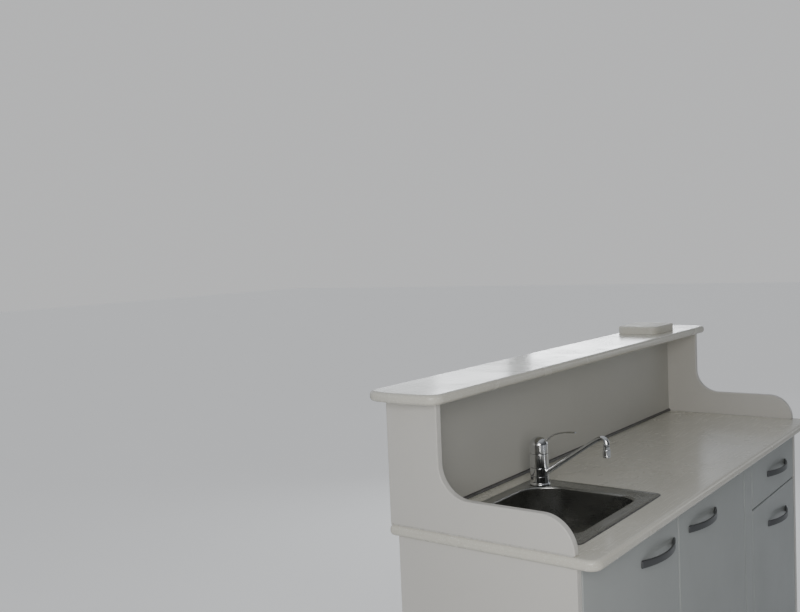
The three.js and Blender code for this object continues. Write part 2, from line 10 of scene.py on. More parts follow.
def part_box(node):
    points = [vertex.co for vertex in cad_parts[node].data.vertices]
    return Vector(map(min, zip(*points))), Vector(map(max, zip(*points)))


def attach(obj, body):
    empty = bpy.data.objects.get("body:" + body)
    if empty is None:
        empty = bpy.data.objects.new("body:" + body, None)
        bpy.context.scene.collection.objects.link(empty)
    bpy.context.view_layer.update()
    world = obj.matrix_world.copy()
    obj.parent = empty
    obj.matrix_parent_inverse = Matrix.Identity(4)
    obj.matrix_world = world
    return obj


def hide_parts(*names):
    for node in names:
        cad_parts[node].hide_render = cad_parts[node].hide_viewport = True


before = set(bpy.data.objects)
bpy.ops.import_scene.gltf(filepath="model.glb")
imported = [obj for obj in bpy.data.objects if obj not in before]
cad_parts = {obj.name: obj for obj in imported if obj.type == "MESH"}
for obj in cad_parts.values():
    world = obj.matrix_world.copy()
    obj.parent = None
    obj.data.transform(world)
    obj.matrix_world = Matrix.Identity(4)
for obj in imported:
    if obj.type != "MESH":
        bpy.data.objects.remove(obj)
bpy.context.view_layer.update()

bl_info = {
    "name": "Galley Counter",
    "version": (1, 0, 0),
    "blender": (4, 5, 0),
    "location": "View3D > Sidebar > Galley",
    "description": "Models and finishes a galley counter with a raised bar round its packed solids",
    "category": "Object",
}

# The gap that seated pieces keep, and how far a cutting tool stands past what it cuts, in metres
SEAT = 0.0003
PAST = 0.01

# Places and sizes in metres
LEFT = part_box("end_panel_left")[0].x
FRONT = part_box("door_left")[0].y
WORKTOP_CORNERS = (0.030, 0.030, 0.013, 0.013)
WING_HEIGHT = 0.084
COLUMN_DEPTH = 0.148
BAR_BOW = 0.006
BAR_CORNER = 0.038
PAD_CORNER = 0.030
CAP_COLUMNS = (-0.82, -0.41, 0.0, 0.41, 0.82)
HANDLE_FOOT = 0.012
HANDLE_BAND = 0.0065
HANDLE_WAIST = 0.017
PIVOT_INSET = 0.009
PIVOT_PIN = 0.004
PIVOT_COLLAR = 0.0062
PIVOT_HOLE = 0.0045
PIVOT_DEPTH = 0.014
PIVOT_PLATE = 0.003
PIVOT_SCREWS = (0.016, 0.027)
DRAWER_SIDE = 0.012
DRAWER_FLOOR = 0.008
CHANNEL_WALL = 0.002
BOWL_LOW = (LEFT + 0.130, FRONT + 0.068, 0.750)
BOWL_HIGH = (LEFT + 0.498, FRONT + 0.372, 0.9023)
BOWL_CORNERS = (0.050, 0.050, 0.095, 0.050)
BOWL_ROOM = 0.005
SINK_SHEET = 0.0011
RIM_CORNER = 0.018
WASTE_AT = (LEFT + 0.314, FRONT + 0.220)
WASTE_DROP = 0.0074
TRAP_OUTLET = 0.625
TAP_AT = (LEFT + 0.500, FRONT + 0.357, 0.9026)
TAP_HOLE = 0.018
TAP_RADIUS = 0.026
RISER_BEAD = 0.0066
CHEEK_BEAD = 0.0016
OUTER_BEAD = 0.0024
SINK_BEAD = 0.0020

# The way that the tap points at rest
SPOUT_TURN = math.radians(-95)

# The camera's place in metres, and its yaw, pitch down and roll in degrees
EYE = (-2.627, -1.1235, 1.563)
EYE_ANGLES = (37.147, 3.354, -2.375)

# Distance ahead of the tap's axis, height over its foot and radius
SPOUT_LINE = (
    (0.010, 0.0275, 0.0068), (0.026, 0.038, 0.0068), (0.060, 0.061, 0.0066), (0.100, 0.088, 0.0064),
    (0.140, 0.115, 0.0062), (0.172, 0.1365, 0.0062), (0.188, 0.146, 0.0063), (0.200, 0.149, 0.0068),
    (0.208, 0.1445, 0.0076), (0.211, 0.135, 0.0086), (0.211, 0.118, 0.0090),
)

# Distance ahead of the tap's axis, height over its foot and size against the blade's section
LEVER_LINE = (
    (0.012, 0.115, 1.15), (0.030, 0.1285, 1.10), (0.050, 0.143, 1.05),
    (0.078, 0.1515, 0.98), (0.105, 0.1552, 0.88), (0.118, 0.1560, 0.80),
)


# Working in Blender


def deselect_all():
    if bpy.context.mode != "OBJECT":
        bpy.ops.object.mode_set(mode="OBJECT")
    bpy.ops.object.select_all(action="DESELECT")


def make_active(piece):
    deselect_all()
    piece.select_set(True)
    bpy.context.view_layer.objects.active = piece


@contextmanager
def editing(piece):
    """Edit mode on one piece, with the whole of it selected at the start."""
    make_active(piece)
    bpy.ops.object.mode_set(mode="EDIT")
    bpy.ops.mesh.select_all(action="SELECT")
    try:
        yield
    finally:
        bpy.ops.object.mode_set(mode="OBJECT")


def choose(kind, test):
    """Select the vertices, edges or faces that pass the test, in edit mode."""
    bpy.ops.mesh.select_mode(type=kind)
    bpy.ops.mesh.select_all(action="DESELECT")
    data = bpy.context.edit_object.data
    mesh = bmesh.from_edit_mesh(data)
    mesh.normal_update()
    items = {"VERT": mesh.verts, "EDGE": mesh.edges, "FACE": mesh.faces}[kind]
    chosen = [item for item in items if test(item)]
    if not chosen:
        raise RuntimeError(f"nothing to select on {bpy.context.edit_object.name}")
    for item in chosen:
        item.select_set(True)
    mesh.select_flush_mode()
    bmesh.update_edit_mesh(data)


def near(a, b, reach=1e-4):
    return abs(a - b) < reach


def middle(item):
    """The middle of an edge or a face."""
    return sum((vert.co for vert in item.verts), Vector()) / len(item.verts)


def runs_along(edge, axis):
    """Whether an edge is parallel to an axis, given as 0, 1 or 2."""
    span = edge.verts[1].co - edge.verts[0].co
    return all(abs(span[other]) < 1e-5 for other in range(3) if other != axis)


def is_corner(edge, degrees=50):
    return len(edge.link_faces) == 2 and edge.calc_face_angle() > math.radians(degrees)


def named(name):
    piece = bpy.context.active_object
    piece.name = name
    piece.data.name = name
    return piece


def settle(piece):
    """Move a piece's place, turn and scale into its mesh."""
    make_active(piece)
    bpy.ops.object.transform_apply(location=True, rotation=True, scale=True)
    return piece


def block(name, low, high):
    low, high = Vector(low), Vector(high)
    deselect_all()
    bpy.ops.mesh.primitive_cube_add(size=1, location=(low + high) / 2, scale=high - low)
    return settle(named(name))


def round_off(piece, width, segments=3, test=is_corner):
    with editing(piece):
        choose("EDGE", test)
        bpy.ops.mesh.bevel(offset=width, segments=segments, profile=0.5, affect="EDGES")
    return piece


def board(name, node, edge, segments=2):
    """A block that fills a node's box, with all its edges rounded."""
    return round_off(block(name, *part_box(node)), edge, segments)


def rounded_block(name, low, high, radii, segments=10):
    """A block with its own radius at each upright corner, counted round from the left front one."""
    piece = block(name, low, high)
    corners = ((low[0], low[1]), (high[0], low[1]), (high[0], high[1]), (low[0], high[1]))
    for (x, y), radius in zip(corners, radii):

        def at_corner(edge):
            return runs_along(edge, 2) and near(middle(edge).x, x) and near(middle(edge).y, y)

        round_off(piece, radius, segments, at_corner)
    return piece


def extrude(value):
    bpy.ops.mesh.extrude_region_move(TRANSFORM_OT_translate={"value": value})


def turned(name, centre, profile, sides=48):
    """A round upright piece raised ring by ring, from (radius, height) pairs that start at its foot."""
    x, y, foot = centre
    radius, height = profile[0]
    deselect_all()
    bpy.ops.mesh.primitive_circle_add(
        vertices=sides, radius=radius, fill_type="NGON", location=(x, y, foot + height)
    )
    piece = settle(named(name))
    with editing(piece):
        for next_radius, next_height in profile[1:]:
            extrude((0, 0, next_height - height))
            grow = next_radius / radius
            ring = (x, y, foot + next_height)
            bpy.ops.transform.resize(value=(grow, grow, 1), center_override=ring)
            radius, height = next_radius, next_height
        bpy.ops.mesh.select_all(action="SELECT")
        bpy.ops.mesh.normals_make_consistent(inside=False)
    return piece


def rod(place, radius, height, sides=48):
    """A plain round tool that stands on its place."""
    return turned("rod", place, ((radius, 0), (radius, height)), sides)


def tube(name, points, radii, section=None, sides=8, steps=8, closed=False):
    """A smooth bar through points, round unless a section curve is given, turned into a mesh."""
    deselect_all()
    bpy.ops.curve.primitive_bezier_curve_add(location=(0, 0, 0))
    piece = bpy.context.active_object
    curve = piece.data
    spline = curve.splines[0]
    spline.bezier_points.add(len(points) - len(spline.bezier_points))
    spline.use_cyclic_u = closed
    spline.resolution_u = steps
    for knot, point, radius in zip(spline.bezier_points, points, radii):
        knot.co = point
        knot.radius = radius
        knot.handle_left_type = knot.handle_right_type = "AUTO"
    curve.twist_mode = "Z_UP"
    curve.use_fill_caps = not closed
    if section:
        curve.bevel_mode = "OBJECT"
        curve.bevel_object = section
    else:
        curve.bevel_depth = 1.0
        curve.bevel_resolution = sides
    make_active(piece)
    bpy.ops.object.convert(target="MESH")
    piece = settle(named(name))
    with editing(piece):
        bpy.ops.mesh.remove_doubles(threshold=1e-6)
        bpy.ops.mesh.normals_make_consistent(inside=False)
    if section:
        bpy.data.objects.remove(section)
    return piece


def bead(name, start, end, radius):
    """A round bead of sealant along a straight run."""
    knots = [Vector(start).lerp(Vector(end), share) for share in (0, 0.02, 0.5, 0.98, 1)]
    return tube(name, knots, [radius] * len(knots), sides=2, steps=2)


def use_modifier(piece, kind, **settings):
    make_active(piece)
    modifier = piece.modifiers.new(kind.lower(), kind)
    for setting, value in settings.items():
        setattr(modifier, setting, value)
    bpy.ops.object.modifier_apply(modifier=modifier.name)
    return piece


def cut_away(piece, tool):
    use_modifier(piece, "BOOLEAN", operation="DIFFERENCE", solver="EXACT", object=tool)
    bpy.data.objects.remove(tool)
    return piece


def turn_and_place(piece, place, turn=(0, 0, 0)):
    """Turn a piece about the scene's origin and then shift it."""
    piece.location = place
    piece.rotation_euler = turn
    return settle(piece)


def copied(piece, name, place, turn=(0, 0, 0)):
    """A copy with its own mesh, turned about the scene's origin and then shifted."""
    make_active(piece)
    bpy.ops.object.duplicate()
    return turn_and_place(named(name), place, turn)


def joined(name, pieces):
    make_active(pieces[0])
    for piece in pieces:
        piece.select_set(True)
    bpy.ops.object.join()
    return named(name)


def give_faces(piece, first, second, test):
    """Give the faces that pass the test the second finish and the others the first."""
    piece.data.materials.clear()
    for finish_name in (first, second):
        piece.data.materials.append(bpy.data.materials[finish_name])
    for face in piece.data.polygons:
        face.material_index = 1 if test(face) else 0


def finish(piece, body, finish_name, node=None, angle=34):
    """Smooth a piece, give it its finish, tie it to its body and hide the solid that it stands for."""
    make_active(piece)
    bpy.ops.object.shade_smooth_by_angle(angle=math.radians(angle))
    use_modifier(piece, "WEIGHTED_NORMAL", keep_sharp=True, weight=80)
    if not piece.data.materials:
        piece.data.materials.append(bpy.data.materials[finish_name])
    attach(piece, body)
    if node:
        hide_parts(node)


# Finishes


class Nodes:
    """Short calls for the shader nodes that the finishes and the surroundings share."""

    def __init__(self, tree, place):
        self.tree = tree
        self.place = tree.nodes.new("ShaderNodeTexCoord").outputs[place]

    def node(self, kind, inputs=(), **settings):
        node = self.tree.nodes.new(kind)
        for setting, value in settings.items():
            setattr(node, setting, value)
        for socket, value in dict(inputs).items():
            self.set(node.inputs[socket], value)
        return node

    def set(self, socket, value):
        """Link another node's socket to this one, or give it a plain number, vector or colour."""
        if isinstance(value, bpy.types.NodeSocket):
            self.tree.links.new(value, socket)
        elif socket.type == "RGBA":
            socket.default_value = (*value[:3], 1.0)
        else:
            socket.default_value = value

    def stretched(self, scale, turn=(0, 0, 0)):
        inputs = {"Vector": self.place, "Scale": scale, "Rotation": turn}
        return self.node("ShaderNodeMapping", inputs).outputs[0]

    def noise(self, scale, detail=4.0, roughness=0.55, place=None, distortion=0.0):
        inputs = {
            "Vector": place or self.place,
            "Scale": scale,
            "Detail": detail,
            "Roughness": roughness,
            "Distortion": distortion,
        }
        return self.node("ShaderNodeTexNoise", inputs).outputs["Fac"]

    def cells(self, scale, feature="F1"):
        inputs = {"Vector": self.place, "Scale": scale}
        return self.node("ShaderNodeTexVoronoi", inputs, feature=feature)

    def spread(self, value, low, high, to_low=0.0, to_high=1.0):
        inputs = {"Value": value, "From Min": low, "From Max": high, "To Min": to_low, "To Max": to_high}
        return self.node("ShaderNodeMapRange", inputs).outputs[0]

    def maths(self, operation, a, b=0.0):
        return self.node("ShaderNodeMath", {0: a, 1: b}, operation=operation).outputs[0]

    def times(self, first, *others):
        for other in others:
            first = self.maths("MULTIPLY", first, other)
        return first

    def plus(self, a, b):
        return self.maths("ADD", a, b)

    def between(self, share, a, b):
        return self.node("ShaderNodeMix", {0: share, 2: a, 3: b}).outputs[0]

    def mixed(self, share, a, b):
        return self.node("ShaderNodeMix", {0: share, 6: a, 7: b}, data_type="RGBA").outputs[2]

    def along(self, axis):
        return self.node("ShaderNodeSeparateXYZ", {0: self.place}).outputs[axis]

    def facing(self, axis):
        """How far the surface faces along an axis, either way."""
        normal = self.node("ShaderNodeNewGeometry").outputs["Normal"]
        return self.maths("ABSOLUTE", self.node("ShaderNodeSeparateXYZ", {0: normal}).outputs[axis])


class Finish(Nodes):
    """A material whose nodes read the piece's own coordinates."""

    def __init__(self, name, roughness, metallic=0.0, **sockets):
        self.material = bpy.data.materials.new(name)
        self.material.use_nodes = True
        super().__init__(self.material.node_tree, "Object")
        self.shader = self.tree.nodes["Principled BSDF"]
        self.rough(roughness)
        self.set(self.shader.inputs["Metallic"], metallic)
        for socket, value in sockets.items():
            self.set(self.shader.inputs[socket.replace("_", " ")], value)
        self.normal = None

    def colour(self, value):
        self.set(self.shader.inputs["Base Color"], value)

    def rough(self, value):
        self.set(self.shader.inputs["Roughness"], value)

    def bump(self, height, distance, strength=1.0):
        """Add a relief over the ones that the finish already has."""
        node = self.node("ShaderNodeBump", {"Height": height, "Distance": distance, "Strength": strength})
        if self.normal:
            self.set(node.inputs["Normal"], self.normal)
        self.normal = node.outputs[0]
        self.set(self.shader.inputs["Normal"], self.normal)


def shade(colour, factor, green=1.0, blue=1.0):
    """A colour made lighter or darker, and warmer where its green and blue are held back."""
    return tuple(min(1.0, channel * factor * part) for channel, part in zip(colour, (1.0, green, blue)))


def make_slab(name, colour, smoothest, coat):
    """Cast solid surface: fine grains, faint mottling, and smears and hairline scratches in its gloss."""
    slab = Finish(name, smoothest, Coat_Weight=coat, Coat_Roughness=0.14)
    clouds = slab.spread(slab.noise(3.2, 3.0, 0.5), 0.3, 0.7)
    base = slab.mixed(clouds, shade(colour, 0.965, 0.995, 0.98), shade(colour, 1.02))
    grain = slab.node("ShaderNodeSeparateColor", {0: slab.cells(640.0).outputs["Color"]}).outputs[0]
    dark_grain = slab.spread(grain, 0.955, 0.975)
    pale_grain = slab.spread(grain, 0.10, 0.05)
    base = slab.mixed(slab.times(dark_grain, 0.16), base, shade(colour, 0.45, 0.95, 0.86))
    base = slab.mixed(slab.times(pale_grain, 0.4), base, (0.97, 0.97, 0.95))
    stains = slab.spread(slab.noise(5.0, 2.0, 0.5), 0.60, 0.80, 0.0, 0.10)
    slab.colour(slab.mixed(stains, base, shade(colour, 0.72, 0.95, 0.85)))
    smear = slab.noise(5.0, 4.0, 0.6, distortion=0.4)
    smears = slab.spread(smear, 0.38, 0.68, smoothest, smoothest + 0.14)
    hairs = [
        slab.spread(slab.noise(9.0, 1.0, 0.5, slab.stretched((0.7, 60.0, 1.0), (0, 0, turn))), 0.68, 0.72)
        for turn in (0.2, 1.3, -0.6)
    ]
    scratches = slab.maths("MAXIMUM", slab.maths("MAXIMUM", *hairs[:2]), hairs[2])
    scratches = slab.times(scratches, slab.spread(slab.facing(2), 0.9, 0.98))
    slab.rough(slab.plus(smears, slab.times(scratches, 0.10)))
    slab.bump(slab.noise(19.0, 2.0, 0.4), 0.0007, 0.2)


def make_laminate(name, colour, roughness, scuff_top, scuffs):
    """Satin laminate with a fine pebbled press, faint hand smudges and short scuffs that thin out upwards."""
    panel = Finish(name, roughness)
    cloud = panel.spread(panel.noise(1.4, 3.0, 0.5), 0.3, 0.7)
    base = panel.mixed(cloud, shade(colour, 0.975, 0.998, 0.99), shade(colour, 1.012))
    smudge = panel.spread(panel.noise(8.0, 3.0, 0.6), 0.60, 0.78, 0.0, 0.14)
    base = panel.mixed(smudge, base, shade(colour, 0.84, 0.98, 0.93))
    low = panel.spread(panel.along(2), scuff_top, 0.0)
    marks = panel.noise(34.0, 2.0, 0.5, panel.stretched((1.0, 1.0, 11.0), (0.35, 0.2, 0)))
    patches = panel.spread(panel.noise(4.5, 2.0, 0.5), 0.46, 0.62)
    streaks = panel.times(panel.spread(marks, 0.64, 0.69), patches, low)
    dust = panel.times(panel.spread(panel.noise(70.0, 5.0, 0.7), 0.25, 0.75), low, low, low)
    base = panel.mixed(panel.times(dust, scuffs * 0.35), base, shade(colour, 0.66, 0.96, 0.88))
    panel.colour(panel.mixed(panel.times(streaks, scuffs * 0.7), base, (0.17, 0.165, 0.16)))
    gloss = panel.spread(panel.noise(4.0, 4.0, 0.6), 0.3, 0.75, roughness - 0.08, roughness + 0.09)
    panel.rough(panel.plus(gloss, panel.times(streaks, 0.15)))
    panel.bump(panel.cells(1100.0, feature="SMOOTH_F1").outputs["Distance"], 0.00005, 0.5)
    panel.bump(panel.noise(11.0, 2.0, 0.4), 0.0005, 0.2)


def make_edging(name, colour, roughness):
    """Glued edge strip, glossier than its board, with drawn lines along it and rubbed spots."""
    strip = Finish(name, roughness)
    lines = strip.noise(40.0, 3.0, 0.6, strip.stretched((6.0, 6.0, 0.6)))
    base = strip.mixed(strip.spread(lines, 0.35, 0.7), shade(colour, 0.95), shade(colour, 1.03))
    rubbed = strip.spread(strip.noise(24.0, 4.0, 0.6), 0.62, 0.76, 0.0, 0.3)
    strip.colour(strip.mixed(rubbed, base, shade(colour, 0.72, 0.96, 0.88)))
    strip.rough(strip.spread(lines, 0.3, 0.75, roughness - 0.07, roughness + 0.09))
    strip.bump(strip.noise(160.0, 3.0, 0.5), 0.0001, 0.35)


def make_board(colour):
    """Melamine faced board with a faint linen press and dust."""
    board_face = Finish("cabinet_board", 0.5)
    weave_x = board_face.noise(60.0, 2.0, 0.5, board_face.stretched((0.6, 12.0, 12.0)))
    weave_z = board_face.noise(60.0, 2.0, 0.5, board_face.stretched((12.0, 12.0, 0.6)))
    linen = board_face.plus(weave_x, weave_z)
    base = board_face.mixed(board_face.spread(linen, 0.75, 1.3), shade(colour, 0.92), shade(colour, 1.05))
    dust = board_face.spread(board_face.noise(5.0, 6.0, 0.7), 0.5, 0.8, 0.0, 0.35)
    board_face.colour(board_face.mixed(dust, base, shade(colour, 0.75, 0.95, 0.88)))
    board_face.rough(board_face.spread(board_face.noise(8.0, 4.0, 0.6), 0.3, 0.7, 0.42, 0.62))
    board_face.bump(linen, 0.00012, 0.4)


def make_ply(colour):
    """Birch plywood: long grain on the faces and glued layers where an edge shows."""
    ply = Finish("drawer_ply", 0.5)
    grain = ply.noise(26.0, 6.0, 0.62, ply.stretched((9.0, 0.5, 9.0)), 0.35)
    pores = ply.spread(ply.noise(150.0, 3.0, 0.6, ply.stretched((7.0, 0.35, 7.0))), 0.62, 0.72)
    base = ply.mixed(ply.spread(grain, 0.32, 0.68), shade(colour, 0.80, 0.94, 0.83), shade(colour, 1.08))
    base = ply.mixed(ply.times(pores, 0.35), base, shade(colour, 0.5, 0.85, 0.65))
    layers = ply.maths("PINGPONG", ply.plus(ply.along(0), ply.along(1)), 0.0012)
    glue = ply.times(ply.spread(layers, 0.00055, 0.0008), ply.spread(ply.facing(2), 0.8, 0.95))
    ply.colour(ply.mixed(ply.times(glue, 0.6), base, shade(colour, 0.42, 0.82, 0.6)))
    ply.rough(ply.spread(grain, 0.3, 0.7, 0.40, 0.58))
    ply.bump(grain, 0.0002, 0.5)
    ply.bump(pores, 0.0001, 0.4)


def make_brushed_steel(colour):
    """Pressed steel brushed along its length and across its ends, with water marks and fine scratches."""
    steel = Finish("brushed_steel", 0.3, 1.0, Anisotropic=0.35)
    lengthwise = steel.noise(120.0, 3.0, 0.6, steel.stretched((0.10, 14.0, 14.0)))
    across = steel.noise(120.0, 3.0, 0.6, steel.stretched((14.0, 0.10, 14.0)))
    brushed = steel.between(steel.spread(steel.facing(0), 0.55, 0.8), lengthwise, across)
    scratch_line = steel.noise(9.0, 3.0, 0.6, steel.stretched((1.0, 50.0, 6.0), (0.3, 0.2, 0.9)))
    scratches = steel.spread(scratch_line, 0.68, 0.71)
    ring = steel.maths("PINGPONG", steel.cells(52.0).outputs["Distance"], 0.16)
    spots = steel.times(steel.spread(ring, 0.12, 0.155), steel.spread(steel.noise(7.0, 3.0), 0.54, 0.66))
    film = steel.spread(steel.noise(5.0, 4.0, 0.6), 0.42, 0.75)
    base = steel.mixed(steel.spread(brushed, 0.3, 0.7), shade(colour, 0.94), shade(colour, 1.06))
    base = steel.mixed(steel.times(film, 0.3), base, shade(colour, 0.74, 0.97, 0.92))
    steel.colour(steel.mixed(steel.times(spots, 0.35), base, (0.62, 0.62, 0.59)))
    gloss = steel.spread(brushed, 0.3, 0.7, 0.21, 0.31)
    worn = steel.plus(steel.times(film, 0.10), steel.times(spots, 0.2))
    steel.rough(steel.plus(gloss, worn))
    steel.bump(brushed, 0.00002, 0.4)
    steel.bump(scratches, 0.00003, 0.4)


def make_chrome(colour):
    """Polished chrome with finger smears, dried drops and a dull tide mark at its foot."""
    chrome = Finish("tap_chrome", 0.08, 1.0)
    smears = chrome.spread(chrome.noise(34.0, 5.0, 0.65, distortion=0.9), 0.50, 0.74)
    drops = chrome.spread(chrome.cells(230.0).outputs["Distance"], 0.20, 0.13)
    specks = chrome.times(drops, chrome.spread(chrome.noise(40.0), 0.55, 0.62))
    foot = chrome.spread(chrome.along(2), 0.918, 0.903)
    lime = chrome.times(foot, chrome.spread(chrome.noise(90.0), 0.4, 0.7))
    base = chrome.mixed(chrome.times(smears, 0.25), colour, shade(colour, 0.82, 0.98, 0.95))
    chrome.colour(chrome.mixed(chrome.times(lime, 0.6), base, (0.62, 0.61, 0.57)))
    gloss = chrome.plus(chrome.spread(smears, 0.0, 1.0, 0.045, 0.15), chrome.times(specks, 0.25))
    chrome.rough(chrome.plus(gloss, chrome.times(lime, 0.35)))
    chrome.bump(specks, 0.00008, 0.4)


def make_handle_metal(colour):
    """Dark satin metal, drawn lengthwise and rubbed brighter where hands pull."""
    metal = Finish("handle_metal", 0.40, 0.55)
    drawn = metal.noise(130.0, 4.0, 0.65, metal.stretched((0.15, 7.0, 7.0)))
    base = metal.mixed(metal.spread(drawn, 0.3, 0.7), shade(colour, 0.82), shade(colour, 1.22))
    rubbed = metal.spread(metal.noise(36.0, 4.0, 0.6), 0.52, 0.72, 0.0, 0.55)
    metal.colour(metal.mixed(rubbed, base, shade(colour, 1.9)))
    metal.rough(metal.spread(drawn, 0.3, 0.7, 0.26, 0.44))
    metal.bump(drawn, 0.00004, 0.5)


def make_zinc(colour):
    """Zinc plated steel with a cloudy passivated bloom."""
    zinc = Finish("zinc_fittings", 0.4, 0.95)
    bloom = zinc.noise(70.0, 5.0, 0.65, distortion=0.7)
    base = zinc.mixed(zinc.spread(bloom, 0.35, 0.7), shade(colour, 0.78, 0.99, 0.94), shade(colour, 1.1))
    grease = zinc.spread(zinc.noise(22.0, 4.0, 0.6), 0.6, 0.75, 0.0, 0.5)
    zinc.colour(zinc.mixed(grease, base, shade(colour, 0.35, 0.92, 0.8)))
    zinc.rough(zinc.spread(bloom, 0.3, 0.75, 0.26, 0.52))
    zinc.bump(zinc.noise(420.0, 3.0), 0.00004, 0.5)


def make_plastic(colour):
    """Moulded white plastic, faintly yellowed, with dust in its low places."""
    plastic = Finish("trap_plastic", 0.42, Subsurface_Weight=0.05)
    tone = plastic.spread(plastic.noise(14.0, 4.0, 0.6), 0.3, 0.7)
    base = plastic.mixed(tone, shade(colour, 0.92, 0.98, 0.92), shade(colour, 1.02))
    dust = plastic.spread(plastic.noise(50.0, 6.0, 0.7), 0.58, 0.78, 0.0, 0.4)
    plastic.colour(plastic.mixed(dust, base, shade(colour, 0.66, 0.95, 0.86)))
    plastic.rough(plastic.spread(plastic.noise(90.0, 4.0), 0.3, 0.7, 0.34, 0.52))
    plastic.bump(plastic.noise(300.0, 3.0), 0.00008, 0.5)


def make_sealant(name, colour):
    """Flexible sealant, smoothed by hand, with dirt caught along it."""
    sealant = Finish(name, 0.38)
    waves = sealant.noise(55.0, 4.0, 0.6)
    dirt = sealant.spread(sealant.noise(120.0, 6.0, 0.7), 0.45, 0.75, 0.0, 0.6)
    sealant.colour(sealant.mixed(dirt, colour, shade(colour, 0.45, 0.95, 0.85)))
    sealant.rough(sealant.spread(waves, 0.3, 0.7, 0.28, 0.5))
    sealant.bump(waves, 0.0006, 0.5)


# What a user can set

COLOUR = {"subtype": "COLOR", "min": 0, "max": 1}
EDGE = {"unit": "LENGTH", "precision": 4}
CURVE = {"unit": "LENGTH", "precision": 3}
POWER = {"unit": "POWER", "min": 0}


class GalleyFinishes(bpy.types.PropertyGroup):
    """Colours of the counter's finishes"""

    slab: FloatVectorProperty(
        name="Slab", description="Worktop, bar top and pad", default=(0.68, 0.66, 0.585), **COLOUR
    )
    panel: FloatVectorProperty(
        name="Panels", description="Outer panels and cheeks", default=(0.66, 0.645, 0.61), **COLOUR
    )
    # Riser: the panels' white made darker, as painted shade for the shade that the riser stands in under the
    # bar
    riser: FloatVectorProperty(
        name="Riser", description="Upright panel behind the worktop", default=(0.555, 0.55, 0.515), **COLOUR
    )
    # Fronts: darker and cooler than the panels, partly their own grey and partly painted shade for the shade
    # that the fronts stand in
    front: FloatVectorProperty(
        name="Fronts", description="Doors, drawer fronts and stile", default=(0.44, 0.463, 0.46), **COLOUR
    )
    board: FloatVectorProperty(
        name="Boards", description="Cabinet boards inside", default=(0.62, 0.585, 0.50), **COLOUR
    )
    ply: FloatVectorProperty(name="Plywood", description="Drawer boxes", default=(0.64, 0.50, 0.33), **COLOUR)
    steel: FloatVectorProperty(
        name="Sink steel", description="Sink and waste", default=(0.40, 0.40, 0.385), **COLOUR
    )
    chrome: FloatVectorProperty(name="Chrome", description="Tap", default=(0.55, 0.56, 0.565), **COLOUR)
    handle: FloatVectorProperty(
        name="Handles", description="Bow handles", default=(0.070, 0.072, 0.074), **COLOUR
    )
    fitting: FloatVectorProperty(
        name="Fittings", description="Runners, pivots and screws", default=(0.55, 0.55, 0.52), **COLOUR
    )
    plastic: FloatVectorProperty(
        name="Plastic", description="Waste trap and caps", default=(0.72, 0.715, 0.69), **COLOUR
    )
    sealant: FloatVectorProperty(
        name="Sealant", description="Beads along the cheeks", default=(0.60, 0.59, 0.56), **COLOUR
    )
    # Dark beads: partly dark sealant, partly painted shade for the shadow lines round the sink and at the
    # riser's foot
    dark_sealant_painted_shade: FloatVectorProperty(
        name="Dark sealant",
        description="Beads round the sink and at the riser's foot",
        default=(0.085, 0.082, 0.08),
        **COLOUR,
    )


class GalleySizes(bpy.types.PropertyGroup):
    """Edges and small sizes that the solids leave open"""

    nose: FloatProperty(
        name="Slab nose", description="Rounding along the slabs' edges", default=0.0098, min=0.001, **EDGE
    )
    cheek_edge: FloatProperty(
        name="Cheek edge", description="Rounding along the cheeks' edges", default=0.0028, min=0.0005, **EDGE
    )
    board_edge: FloatProperty(
        name="Board edge", description="Rounding along the boards' edges", default=0.0009, min=0.0002, **EDGE
    )
    front_edge: FloatProperty(
        name="Front edge",
        description="Rounding round the doors and drawer fronts",
        default=0.0035,
        min=0.0005,
        **EDGE,
    )
    cheek_curve: FloatProperty(
        name="Cheek curve", description="Radius of the cheeks' two curves", default=0.080, min=0.02, **CURVE
    )
    pad_edge: FloatProperty(
        name="Pad edge", description="Rounding over the bar pad", default=0.005, min=0.001, **EDGE
    )
    bowl_floor: FloatProperty(
        name="Bowl floor curve",
        description="Radius between the bowl's walls and floor",
        default=0.030,
        min=0.005,
        **CURVE,
    )
    curve_steps: IntProperty(
        name="Curve steps", description="Faces round each of the cheeks' curves", default=18, min=4, max=48
    )


class GalleyStage(bpy.types.PropertyGroup):
    """Light, floor and camera"""

    window_power: FloatProperty(
        name="Window light", description="Soft light beyond the bar", default=29.0, **POWER
    )
    end_power: FloatProperty(
        name="End light", description="Soft light on the left end", default=30.0, **POWER
    )
    right_power: FloatProperty(
        name="Right light", description="Soft light on the right end", default=5.0, **POWER
    )
    floor_colour: FloatVectorProperty(
        name="Floor", description="Floor's colour", default=(0.78, 0.784, 0.788), **COLOUR
    )
    floor_glow: FloatProperty(
        name="Floor glow", description="Light that the floor gives off", default=0.34, min=0
    )
    backdrop: FloatVectorProperty(
        name="Backdrop",
        description="Colour behind everything",
        default=(0.61, 0.615, 0.62),
        subtype="COLOR",
        min=0,
        max=2,
    )
    top_sky: FloatProperty(
        name="Light from above", description="Surroundings' light overhead", default=0.40, min=0
    )
    back_sky: FloatProperty(
        name="Light from behind", description="Surroundings' light beyond the bar", default=0.66, min=0
    )
    front_sky: FloatProperty(
        name="Light from the front", description="Surroundings' light before the doors", default=0.06, min=0
    )
    focal_length: FloatProperty(
        name="Focal length", description="Camera's lens", default=41.617, min=10, unit="CAMERA"
    )


